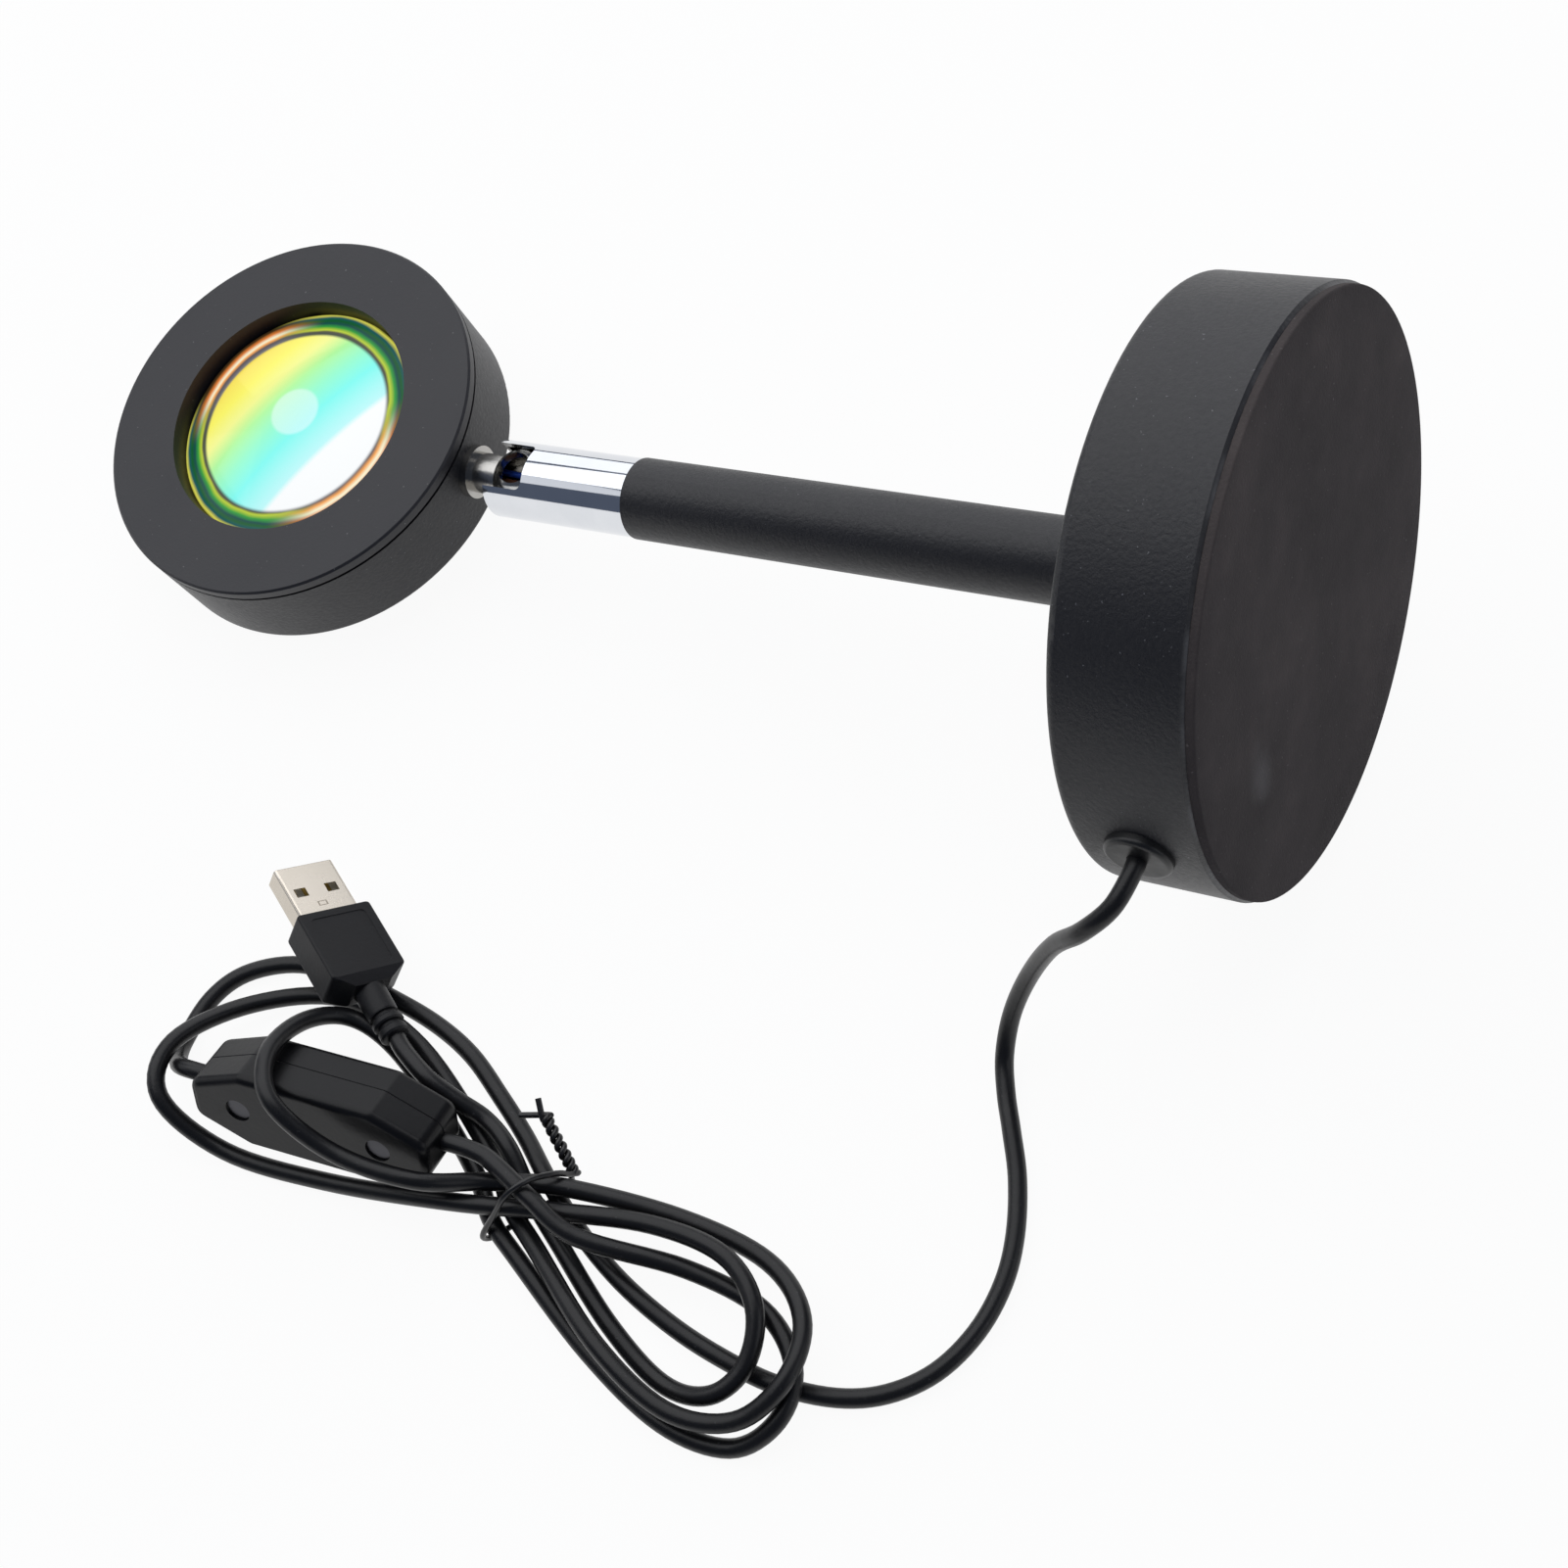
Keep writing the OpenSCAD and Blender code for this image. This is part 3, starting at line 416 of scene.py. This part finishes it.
# The neck tilts about the ball, and the head's axis is square to the neck
neck = swivel @ Matrix.Translation((0, 0, pivot_h * mm)) @ Matrix.Rotation(neck_tilt, 4, "Y")
head = neck @ Matrix.Translation((0, 0, head_reach * mm)) @ Matrix.Rotation(radians(90), 4, "Y")
powder_coat("powder_coat_head", head).cover("head_housing")
bezel = Finish("satin_front_ring", roughness=0.4, frame_of=head)
bezel_cloud = bezel.noise(12, 3)
fleck = bezel.noise(0.35, 1).between(0.75, 0.79)
bezel_black = bezel.mix(bezel_cloud, rgb(29, 29, 34), rgb(35, 35, 41))
bezel.set(Base_Color=bezel.mix(fleck * 0.5, bezel_black, rgb(110, 110, 112)),
          Roughness=bezel_cloud * 0.14 + 0.4)
bezel.bump(bezel.noise(0.3, 2), 0.025).cover("front_bezel")
board = Finish("white_light_board", roughness=0.5, frame_of=head)
tracks = board.noise(4, 1).between(0.48, 0.5)
board.set(Base_Color=board.mix(tracks, rgb(208, 210, 206), rgb(226, 228, 224))).cover("led_board")
phosphor = Finish("yellow_phosphor", roughness=0.5)
phosphor.set(Base_Color=phosphor.mix(phosphor.noise(0.6, 2), rgb(226, 196, 60), rgb(242, 220, 96)))
phosphor.cover("led_chip")

# ---- Lens ----
# A domed glass lens over a filter that shows one colour after another across it:
# yellow, mint, cyan and white. The colours glow with painted light, and the coloured
# rings round the rim are painted reflections and highlights.
face_h = 9.9
dome_top = face_h - 0.5
dome_r = 25.4
lens_r = 26.5
lens_sphere = 45
crown_r = 22.5
crown_sphere = 88
shoulder_h = 5.4
dome_steps = 24
lens_rim_h = dome_top - lens_sphere + sqrt(lens_sphere ** 2 - dome_r ** 2)
lens_low = lens_rim_h - 2


def draw(points):
    """Edit mode on a new line through points in millimetres"""
    start()
    bpy.ops.mesh.primitive_plane_add(size=mm)
    bpy.ops.object.mode_set(mode="EDIT")
    bpy.ops.mesh.merge(type="CENTER")
    at = Vector((0, 0, 0))
    for i, point in enumerate(points):
        spot = Vector(point) * mm
        if i == 0:
            bpy.ops.transform.translate(value=spot - at)
        else:
            bpy.ops.mesh.extrude_region_move(TRANSFORM_OT_translate={"value": spot - at})
        at = spot
    bpy.ops.mesh.select_all(action="SELECT")


def turned(name, outline, place, steps=128):
    """A closed round piece: its half outline, as radius and height, is spun"""
    draw([(radius, 0, height) for radius, height in outline])
    bpy.ops.mesh.spin(steps=steps, angle=radians(360), center=(0, 0, 0), axis=(0, 0, 1))
    bpy.ops.mesh.select_all(action="SELECT")
    bpy.ops.mesh.remove_doubles(threshold=0.001 * mm)
    bpy.ops.mesh.normals_make_consistent(inside=False)
    return done(name, place, 30)


# The crown is nearly flat, the shoulder rolls over to the rim, and a flange holds it
dome = [(crown_r * k / dome_steps,
         dome_top - crown_sphere + sqrt(crown_sphere ** 2 - (crown_r * k / dome_steps) ** 2))
        for k in range(dome_steps + 1)]
shoulder = [(crown_r + (dome_r - crown_r) * sin(a),
             shoulder_h + (dome[-1][1] - shoulder_h) * cos(a))
            for a in [radians(15 * k) for k in range(1, 7)]]
flange = [(dome_r, lens_rim_h), (lens_r, lens_rim_h), (lens_r, lens_low), (0, lens_low)]
lens_glass = turned("lens_glass", dome + shoulder + flange, head)
mount(lens_glass, "head_body", "lens")

# The way across which the colours follow one another, how far the plain window and the
# painted rim reflections reach from the middle, and where the chip's painted highlight sits
band_x = 0.881
band_y = 0.473
band_half = 21
window_r = 20
reflection_start = 20.4
reflection_width = 6
chip_x = 1
chip_y = 1
chip_r = 4.7


def glass_with_painted_glow(name, rough):
    """The filter's colours run across the head and glow with painted light; painted reflections run
    round the rim
    """
    glass = Finish(name, roughness=rough, frame_of=head)
    x, y = glass.axes()[:2]
    across = x * band_x - y * band_y
    along = x * band_y + y * band_x
    radius = (x * x + y * y).root()
    bands = glass.ramp((across + band_half) / (2 * band_half),
                       (0.04, rgb(250, 226, 92)), (0.17, rgb(252, 246, 104)),
                       (0.28, rgb(246, 250, 148)), (0.38, rgb(176, 248, 158)),
                       (0.49, rgb(148, 250, 205)), (0.6, rgb(126, 250, 240)),
                       (0.765, rgb(190, 250, 250)), (0.795, rgb(252, 254, 254)))
    # Painted highlight: the bright disc of the light chip seen in the lens is painted into the
    # colours
    from_chip = ((x - chip_x) ** 2 + (y - chip_y) ** 2).root()
    painted_chip_highlight = 1 - from_chip.between(chip_r, chip_r + 0.9)
    bands = glass.mix(painted_chip_highlight * 0.5, bands, rgb(236, 252, 255))
    # Painted reflections and highlights: the grey and pale crescents and the coloured streaks that
    # the wall round the lens throws are painted as rings of colour
    ripple = glass.noise(5, 2) * 1.2 + radius
    ends = (along / (radius + 0.1)).size().between(0.35, 0.8)
    reflection_reach = (ripple - reflection_start) / reflection_width
    painted_green_reflections = glass.ramp(reflection_reach,
                             (0, rgb(52, 72, 66)), (0.14, rgb(84, 84, 66)),
                             (0.22, rgb(190, 210, 60)), (0.36, rgb(52, 158, 60)),
                             (0.5, rgb(8, 74, 72)), (0.62, rgb(16, 92, 40)),
                             (0.74, rgb(30, 90, 96)), (0.86, rgb(226, 222, 90)),
                             (0.97, rgb(42, 44, 20)))
    painted_ember_reflections = glass.ramp(reflection_reach,
                             (0, rgb(118, 116, 122)), (0.18, rgb(92, 88, 92)),
                             (0.3, rgb(250, 170, 90)), (0.42, rgb(255, 250, 214)),
                             (0.56, rgb(228, 130, 60)), (0.72, rgb(74, 52, 24)),
                             (0.9, rgb(22, 18, 12)))
    painted_rim_reflections = glass.mix(ends, painted_ember_reflections, painted_green_reflections)
    lift = glass.noise(9, 1) * 0.8
    inner = (radius + lift - across * 0.03).between(window_r, window_r + 0.9)
    colour = glass.mix(inner, bands, painted_rim_reflections)
    # Painted light: the colours are also given as emission, so the lens glows as if lit through the
    # filter
    glass.set(Base_Color=glass.mix(0.75, colour, rgb(8, 8, 8)), Emission_Color=colour,
              Roughness=inner * 0.1 + rough, Coat_Weight=0.3 - inner * 0.25)
    glass.shader.inputs["Emission Strength"].default_value = 0.8
    glass.shader.inputs["Specular IOR Level"].default_value = 0.15
    glass.shader.inputs["Coat Roughness"].default_value = 0.02
    return glass


glass_with_painted_glow("lens_with_painted_glow", 0.2).cover(lens_glass)
glass_with_painted_glow("filter_with_painted_glow", 0.1).cover("dichroic_filter")

# ---- Inline switch ----
# Two black ABS shells, screwed together from the side that shows. A rocker sits in
# the other side, turned to the table. The CAD shells are trimmed to rounded edges.
over_table = Vector((0, 0, table_z / mm))
switch_l = 47.4
switch_w = 17
switch_t = 12.5
switch_end_w = 8
switch_shoulder = 13
switch_split = 6.5
switch_corner = 3
switch_edge = 1.6
seam_edge = 0.2
switch_heading = radians(4.8)
switch_lean = radians(27)
switch_h = switch_w / 2 * cos(switch_lean) + switch_t / 2 * sin(switch_lean)
switch_mid = Vector((-138.9, -124.7, switch_h))

# A block that trims a CAD shell stays this far off the shell's own faces
skin = 0.02


def rounded(corners, radius):
    """A flat outline with its corners rounded"""
    steps = 6
    line = []
    for i, corner in enumerate(corners):
        c = Vector(corner)
        before = (Vector(corners[i - 1]) - c).normalized()
        after = (Vector(corners[(i + 1) % len(corners)]) - c).normalized()
        reach = radius / tan(before.angle(after) / 2)
        for k in range(steps + 1):
            t = k / steps
            line.append(c + before * reach * (1 - t) ** 2 + after * reach * t ** 2)
    return line


def slab(outline, low, high, low_edge=0, high_edge=0, place=Matrix()):
    """A closed block: a flat outline is extruded and its two rims are rounded"""
    draw([(x, y, low) for x, y in outline])
    bpy.ops.mesh.edge_face_add()
    bpy.ops.mesh.extrude_region_move(TRANSFORM_OT_translate={"value": (0, 0, (high - low) * mm)})
    bpy.ops.mesh.select_all(action="SELECT")
    bpy.ops.mesh.normals_make_consistent(inside=False)
    if low_edge:
        edit(lambda middle, normal: normal.z < -0.9)
        bpy.ops.mesh.bevel(offset=low_edge * mm, segments=5, affect="EDGES")
    if high_edge:
        edit(lambda middle, normal: normal.z > 0.9)
        bpy.ops.mesh.bevel(offset=high_edge * mm, segments=5, affect="EDGES")
    return done("block", place)


def new_piece(name, data):
    """An object for this mesh or curve, active and selected alone"""
    piece = bpy.data.objects.new(name, data)
    bpy.context.collection.objects.link(piece)
    start()
    bpy.context.view_layer.objects.active = piece
    piece.select_set(True)


def merged_copy(node, name):
    """A copy of a CAD node's mesh whose loose triangles are joined"""
    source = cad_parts[node]
    mesh = source.data.copy()
    mesh.transform(source.matrix_world)
    new_piece(name, mesh)
    bpy.ops.object.mode_set(mode="EDIT")
    bpy.ops.mesh.select_all(action="SELECT")
    bpy.ops.mesh.remove_doubles(threshold=0.002 * mm)
    return done(name, Matrix())


def carve(piece, operation, block):
    """The piece is cut to, cut by or joined with a block, which is used up"""
    modify(piece, "BOOLEAN", operation=operation, solver="EXACT", object=block)
    bpy.data.objects.remove(block)
    start()
    piece.select_set(True)
    bpy.ops.object.shade_smooth_by_angle(angle=radians(32))
    return piece


def set_down(place):
    """A place in millimetres over the table as a place in the scene"""
    return Matrix.Translation((place.translation + over_table) * mm) @ place.to_3x3().to_4x4()


switch_place = set_down(
    Matrix.Translation(switch_mid) @ Matrix.Rotation(switch_heading, 4, "Z")
    @ Matrix.Rotation(radians(-90) - switch_lean, 4, "X") @ Matrix.Rotation(radians(180), 4, "Z")
    @ Matrix.Translation((0, 0, -switch_t / 2)))
half_l = switch_l / 2 - skin
half_w = switch_w / 2 - skin
half_end = switch_end_w / 2
switch_form = rounded([(-half_l, -half_end), (-switch_shoulder, -half_w), (switch_shoulder, -half_w),
                       (half_l, -half_end), (half_l, half_end), (switch_shoulder, half_w),
                       (-switch_shoulder, half_w), (-half_l, half_end)], switch_corner)
switch_back = carve(merged_copy("switch_bottom_shell", "switch_back"), "INTERSECT",
                    slab(switch_form, skin, switch_split + skin, switch_edge, seam_edge,
                         switch_place))
switch_front = carve(merged_copy("switch_top_shell", "switch_front"), "INTERSECT",
                     slab(switch_form, switch_split - skin, switch_t - skin, seam_edge,
                          switch_edge, switch_place))
modify(switch_back, "WEIGHTED_NORMAL", keep_sharp=True)
modify(switch_front, "WEIGHTED_NORMAL", keep_sharp=True)
mount(switch_back, "stem_body", "switch_bottom_shell")
mount(switch_front, "stem_body", "switch_top_shell")
abs_black = Finish("black_abs", roughness=0.3)
abs_cloud = abs_black.noise(5, 3)
abs_black.set(Base_Color=abs_black.mix(abs_cloud, rgb(10, 10, 12), rgb(17, 17, 20)),
              Roughness=abs_cloud * 0.14 + 0.26)
abs_black.shader.inputs["Specular IOR Level"].default_value = 0.25
abs_black.bump(abs_black.noise(0.5, 2), 0.02)
abs_black.cover(switch_back, switch_front, "switch_rocker")
metal("black_screw", rgb(60, 60, 64), rgb(86, 86, 90), 0.32).cover("switch_screws")

# ---- Plug ----
# A folded nickelled shell in a black overmoulded grip with a ribbed strain relief. A
# shallow panel is sunk in the grip's upper side, and two windows pierce the shell.
shell_l = 11.9
shell_w = 12
shell_t = 4.5
root_l = 4
grip_w = 15
grip_t = 7.4
grip_l = 15
tail_w = 7.2
tail_t = 6
tail_l = 2.4
grip_end = shell_l + grip_l
tail_end = grip_end + tail_l
relief_l = 10.7
plug_l = tail_end + relief_l
plug_mid = (-164.9, -84.7, 12.6)
plug_heading = radians(-124.5)
plug_pitch = radians(-1)
plug_roll = radians(-38)
plug = (Matrix.Translation(plug_mid) @ Matrix.Rotation(plug_heading, 4, "Z")
        @ Matrix.Rotation(plug_pitch, 4, "X") @ Matrix.Rotation(plug_roll, 4, "Y")
        @ Matrix.Translation((0, 0, -shell_t / 2)))
plug_place = set_down(plug)

# The grip is a block with its outline from above, cut to its form from the side. Then
# come the sunken panel, the ribbed relief and the socket of the shell. A block that
# cuts goes past what it cuts.
half_grip = grip_w / 2
grip_rise = grip_t / 2
grip_edge = 0.5
grip_corner = 0.9
past = 1
side_rise = grip_rise + skin
from_above = rounded([(-half_grip, shell_l), (half_grip, shell_l), (half_grip, grip_end),
                      (tail_w / 2, tail_end), (-tail_w / 2, tail_end), (-half_grip, grip_end)],
                     grip_corner)
from_side = rounded([(shell_l, -side_rise), (shell_l, side_rise), (grip_end, side_rise),
                     (tail_end, tail_t / 2), (tail_end, -tail_t / 2), (grip_end, -side_rise)],
                    grip_edge)
stand_up = Matrix(((0, 0, 1, 0), (1, 0, 0, 0), (0, 1, 0, 0), (0, 0, 0, 1)))
plug_grip = slab(from_above, -grip_rise, grip_rise, grip_edge, grip_edge)
plug_grip.name = "plug_grip"
carve(plug_grip, "INTERSECT", slab(from_side, -half_grip - past, half_grip + past, place=stand_up))
panel_w = half_grip - 1.9
panel_low = shell_l + 1.7
panel_high = grip_end - 1
panel_depth = 0.15
panel_edge = 0.1
panel_corner = 1.2
panel = rounded([(-panel_w, panel_low), (panel_w, panel_low), (panel_w, panel_high),
                 (-panel_w, panel_high)], panel_corner)
carve(plug_grip, "DIFFERENCE", slab(panel, grip_rise - panel_depth, grip_rise + past, panel_edge))

# Half of the relief, as radius and distance from the grip: a cone and two ribs
relief = [(0, -past), (2.95, -past), (2.95, 0), (2.85, 5.3), (2.7, 5.7), (2.25, 5.8), (2.25, 6.5),
          (2.7, 6.6), (2.95, 6.9), (2.95, 7.7), (2.7, 8), (2.2, 8.1), (2.2, 8.7), (2.55, 8.8),
          (2.75, 9.1), (2.75, 10.1), (2.5, 10.5), (1.9, relief_l), (0, relief_l)]
along_plug = Matrix.Translation((0, tail_end * mm, 0)) @ Matrix.Rotation(radians(-90), 4, "X")
carve(plug_grip, "UNION", turned("relief", relief, along_plug, 48))
socket_w = shell_w / 2 + skin
socket_t = shell_t / 2 + skin
socket_low = shell_l - past
shell_root = shell_l + root_l
carve(plug_grip, "DIFFERENCE", slab([(-socket_w, socket_low), (socket_w, socket_low),
                                     (socket_w, shell_root), (-socket_w, shell_root)],
                                    -socket_t, socket_t))
plug_grip.data.transform(plug_place)
shell_x = socket_w - 2 * skin
shell_z = socket_t - 2 * skin
shell_corner = 0.65
mouth_edge = 0.15
shell_form = rounded([(-shell_x, -shell_z), (shell_x, -shell_z), (shell_x, shell_z),
                      (-shell_x, shell_z)], shell_corner)
flat_down = plug_place @ Matrix.Rotation(radians(90), 4, "X")
plug_shell = carve(merged_copy("usb_shell", "plug_shell"), "INTERSECT",
                   slab(shell_form, -shell_root - past, -skin, 0, mouth_edge, flat_down))
modify(plug_grip, "WEIGHTED_NORMAL", keep_sharp=True)
modify(plug_shell, "WEIGHTED_NORMAL", keep_sharp=True)
mount(plug_grip, "stem_body", "usb_overmold")
mount(plug_shell, "stem_body", "usb_shell")
mould = Finish("black_overmould", roughness=0.45)
mould_cloud = mould.noise(4, 3)
mould.set(Base_Color=mould.mix(mould_cloud, rgb(22, 22, 24), rgb(30, 30, 33)),
          Roughness=mould_cloud * 0.12 + 0.4)
mould.shader.inputs["Specular IOR Level"].default_value = 0.25
mould.bump(mould.noise(0.35, 2), 0.03).cover(plug_grip)
nickel = Finish("plug_nickel", roughness=0.24, metal=1, frame_of=plug_place)
plug_x, plug_y, plug_z = nickel.axes()
nickel_cloud = nickel.noise(2.5, 4)
# Painted shade: a dark U-shaped outline stands for the shade inside the shell's small slit, which is
# not cut
notch_across = ((plug_x - 0.4) / 0.95).size()
notch_along = ((plug_y - 9.4) / 0.55).size()
notch_rim = notch_across.maths("MAXIMUM", notch_along)
painted_slit_shade = notch_rim.between(0.62, 0.74) * (1 - notch_rim.between(0.96, 1.06)) * plug_z.between(2, 2.1)
plain = nickel.mix(nickel_cloud, rgb(198, 190, 178), rgb(216, 208, 196))
nickel.set(Base_Color=nickel.mix(painted_slit_shade * 0.7, plain, rgb(116, 106, 94)),
           Roughness=nickel_cloud * 0.1 + 0.22)
nickel.bump(nickel.noise(0.25, 2), 0.02, 0.3).cover(plug_shell)

# ---- Cord ----
# Black PVC cord of 3.3 mm. The lead runs from the grommet to the inline switch, and
# the rest is wound in a figure of eight that a wire tie holds at its waist.
cord_d = 3.3
cord_r = cord_d / 2
layer_gap = 0.55
layer = cord_d + layer_gap
tie_d = 1.1
waist_gap = 0.25
waist_h = cord_r + tie_d + waist_gap
base_r = 50
cord_hole_h = 12.5
switch_axis = Vector((cos(switch_heading), sin(switch_heading), 0))
switch_in = switch_mid - switch_axis * switch_l / 2
switch_out = switch_mid + switch_axis * switch_l / 2
plug_tail = plug @ Vector((0, plug_l, 0))
plug_way = plug.to_3x3() @ Vector((0, 1, 0))

# x, y and the height of the cord's middle over the table, in millimetres
lead_route = [
    [-13.6, -59.5, 49.4], [-17.7, -62.8, 44.2], [-23.5, -62.3, 33.2], [-28.2, -63.6, 20.5],
    [-31, -67.4, 10], [-31, -73, 3.4], [-28.6, -79, 1.65], [-25.4, -84.8, 1.65],
    [-21.4, -92.4, 1.65], [-18.3, -101.5, 1.65], [-17.2, -110, 1.65], [-18.4, -119, 1.65],
    [-22.2, -127.4, 1.65], [-28.4, -133.6, 1.65], [-36, -137.2, 1.65], [-45.9, -138.8, 1.65],
    [-55, -138.3, 1.65], [-66, -136.4, 1.65], [-78, -132.6, 1.65], [-89, -127.1, 1.65],
    [-97.5, -121.2, 3.3], [-105.5, -115.2, 1.65], [-113, -110.2, 1.65], [-122, -104.8, 1.65],
    [-131.5, -101.6, 1.65], [-142.7, -99.8, 1.65], [-153, -98.9, 1.65], [-163, -100.4, 1.65],
    [-171, -105.2, 1.65], [-174.9, -111.9, 1.65], [-175.3, -120.8, 2.2], [-172.7, -125.4, 5.2],
    [-169.1, -126.8, 9]]
lead_start = [(lamp @ Vector((0, y - base_r, cord_hole_h))) - over_table for y in (12, 4, 0, -4)]
lead_points = lead_start + lead_route + [switch_in - switch_axis * cord_d, switch_in]

# Each lobe: start x, y, end x, y, length, width, heading, skew, then nine layers
lobes = [
    [-86, -129.6, -97, -135.4, 50.2, 20.2, -11.3, -2.3, [2, 1, 1, 1, 0.85, 0, 0, 0, 0.25]],
    [-110.8, -124.6, -115.7, -131.4, 37.9, -17.6, 165, -5.4,
     [0, 0.1, 1.3, 2.1, 3.5, 5.05, 5.5, 3.85, 3.1]],
    [-92.5, -122, -94.3, -132.8, 51.6, 24, -13.1, 0.5, [1.4, 1, 1, 1.7, 2, 1.2, 1, 1.1, 0.55]],
    [-110, -120.3, -111, -131.4, 61.3, -29, 167, 11.5, [0, 0.5, 0, 0.6, 2.1, 2, 0.15, 0.15, 1.35]],
    [-92.5, -126.5, -91.5, -130.2, 42.4, 20.6, -10.3, -2.4, [1.4, 1.7, 2, 2, 1.4, 0.8, 0, 0, 0.25]]]


def lobe(x0, y0, x1, y1, length, width, heading, skew, layers):
    """One loop of the hank, out from the waist and back, at the layers' heights"""
    way = radians(heading)
    points = []
    for i, level in enumerate(layers):
        share = i / (len(layers) - 1)
        turn = radians(180 * share)
        along = length * sin(turn)
        across = width * sin(turn) * cos(turn) + skew * sin(turn) ** 3
        points.append([x0 + (x1 - x0) * share + along * cos(way) - across * sin(way),
                       y0 + (y1 - y0) * share + along * sin(way) + across * cos(way),
                       cord_r + layer * level])
    return points


hank_points = (
    [switch_out, switch_out + switch_axis * cord_d, [-107.4, -122.6, 10.6],
     [-103, -124, waist_h + 2.1 * layer], [-96, -126.7, waist_h + 2.1 * layer]]
    + lobe(*lobes[0]) + [[-104.2, -131, waist_h]]
    + lobe(*lobes[1]) + [[-105.4, -125.8, waist_h + 1.2 * layer]]
    + lobe(*lobes[2]) + [[-101.9, -127.8, waist_h]]
    + lobe(*lobes[3]) + lobe(*lobes[4])
    + [[-99.8, -124.4, waist_h], [-106.3, -118.7, cord_r + 0.85 * layer],
       [-112.5, -115.5, cord_r + 0.9 * layer], [-118.5, -114.5, cord_r + 1.55 * layer],
       [-124, -113.2, cord_r + 2.1 * layer], plug_tail + plug_way * cord_d, plug_tail])


def smooth_line(points, steps):
    """Points in metres on one smooth line through points over the table in millimetres"""
    p = [(Vector(q) + over_table) * mm for q in points]
    line = []
    for i in range(len(p) - 1):
        a, b, c, d = p[max(i - 1, 0)], p[i], p[i + 1], p[min(i + 2, len(p) - 1)]
        for k in range(steps):
            t = k / steps
            line.append(0.5 * (2 * b + (c - a) * t + (2 * a - 5 * b + 4 * c - d) * t * t
                               + (3 * b - a - 3 * c + d) * t ** 3))
    return line + [p[-1]]


def tube(name, line, radius):
    """A round cord with closed ends along a line of points"""
    curve = bpy.data.curves.new(name, "CURVE")
    curve.dimensions = "3D"
    curve.bevel_depth = radius * mm
    curve.bevel_resolution = 5
    curve.use_fill_caps = True
    spline = curve.splines.new("POLY")
    spline.points.add(len(line) - 1)
    for point, place in zip(spline.points, line):
        point.co = (*place, 1)
    new_piece(name, curve)
    bpy.ops.object.convert(target="MESH")
    bpy.ops.object.shade_smooth_by_angle(angle=radians(60))
    return bpy.context.object


def length_of(line):
    return sum((b - a).length for a, b in zip(line, line[1:]))


lead_line = smooth_line(lead_points, 6)
hank_line = smooth_line(hank_points, 8)
cord_lead = mount(tube("lead_cord", lead_line, cord_r), "stem_body", "cord_lead")
cord_hank = mount(tube("hank_cord", hank_line, cord_r), "stem_body", "cord_hank")
pvc = Finish("black_pvc_cord", roughness=0.34)
dust = pvc.noise(0.35, 3).between(0.66, 0.74)
pvc.set(Base_Color=pvc.mix(dust * 0.5, rgb(22, 22, 24), rgb(64, 64, 66)),
        Roughness=pvc.noise(6, 3) * 0.2 + 0.26)
pvc.shader.inputs["Specular IOR Level"].default_value = 0.35
pvc.bump(pvc.noise(1.2, 3), 0.05).cover(cord_lead, cord_hank)
length_of(lead_line)
length_of(hank_line)

# ---- Wire tie ----
# Black plastic-coated wire goes once round the waist of the hank. Its two ends are
# twisted round each other and stand free.
tie_mid = Vector((-98.6, -126.9, 0))
tie_heading = radians(54)
tie_way = Vector((cos(tie_heading), sin(tie_heading), 0))
tie_turns = 4
tie_apart = 0.62


def tie_at(u, z):
    """The point u millimetres along the tie's plane and z over the table"""
    return tie_mid + tie_way * u + Vector((0, 0, z))


knot = tie_at(9.8, 5)
pair = [v / mm - over_table for v in smooth_line(
    [knot, knot + Vector((-2, 1.9, 1.8)), knot + Vector((-5, 4.4, 3.2)),
     knot + Vector((-7.8, 6.8, 4.2))], 20)]


def strand(phase):
    """One of the two twisted wires, which run round the line of the pair"""
    line = []
    for i, middle in enumerate(pair):
        way = (pair[min(i + 1, len(pair) - 1)] - pair[max(i - 1, 0)]).normalized()
        aside = way.cross(Vector((0, 0, 1))).normalized()
        a = phase + 2 * pi * tie_turns * i / (len(pair) - 1)
        line.append(middle + (aside * cos(a) + way.cross(aside) * sin(a)) * tie_apart)
    return line


tie_loop = [tie_at(u, z) for u, z in (
    (9, 6.8), (7.5, 9.6), (4.2, 12.8), (1, 14), (-2.2, 12.6), (-5.6, 8.2), (-8.5, 4.8),
    (-9.2, 2.6), (-7.8, 0.8), (-4, 0.55), (0, 0.55), (4, 0.55), (7.2, 0.8), (8.5, 2.4))]
loose_a = [Vector((-105.4, -113.4, 8.6))]
loose_b = [Vector((-102.9, -109.9, 10.4))]
tie_line = smooth_line(loose_a + strand(0)[::-1] + tie_loop + strand(pi) + loose_b, 3)
wire_tie = mount(tube("wire_tie", tie_line, tie_d / 2), "stem_body", "twist_tie")
coated = Finish("coated_tie_wire", roughness=0.3)
coated.set(Base_Color=coated.mix(coated.noise(1, 2), rgb(16, 16, 17), rgb(30, 30, 32)))
coated.cover(wire_tie)
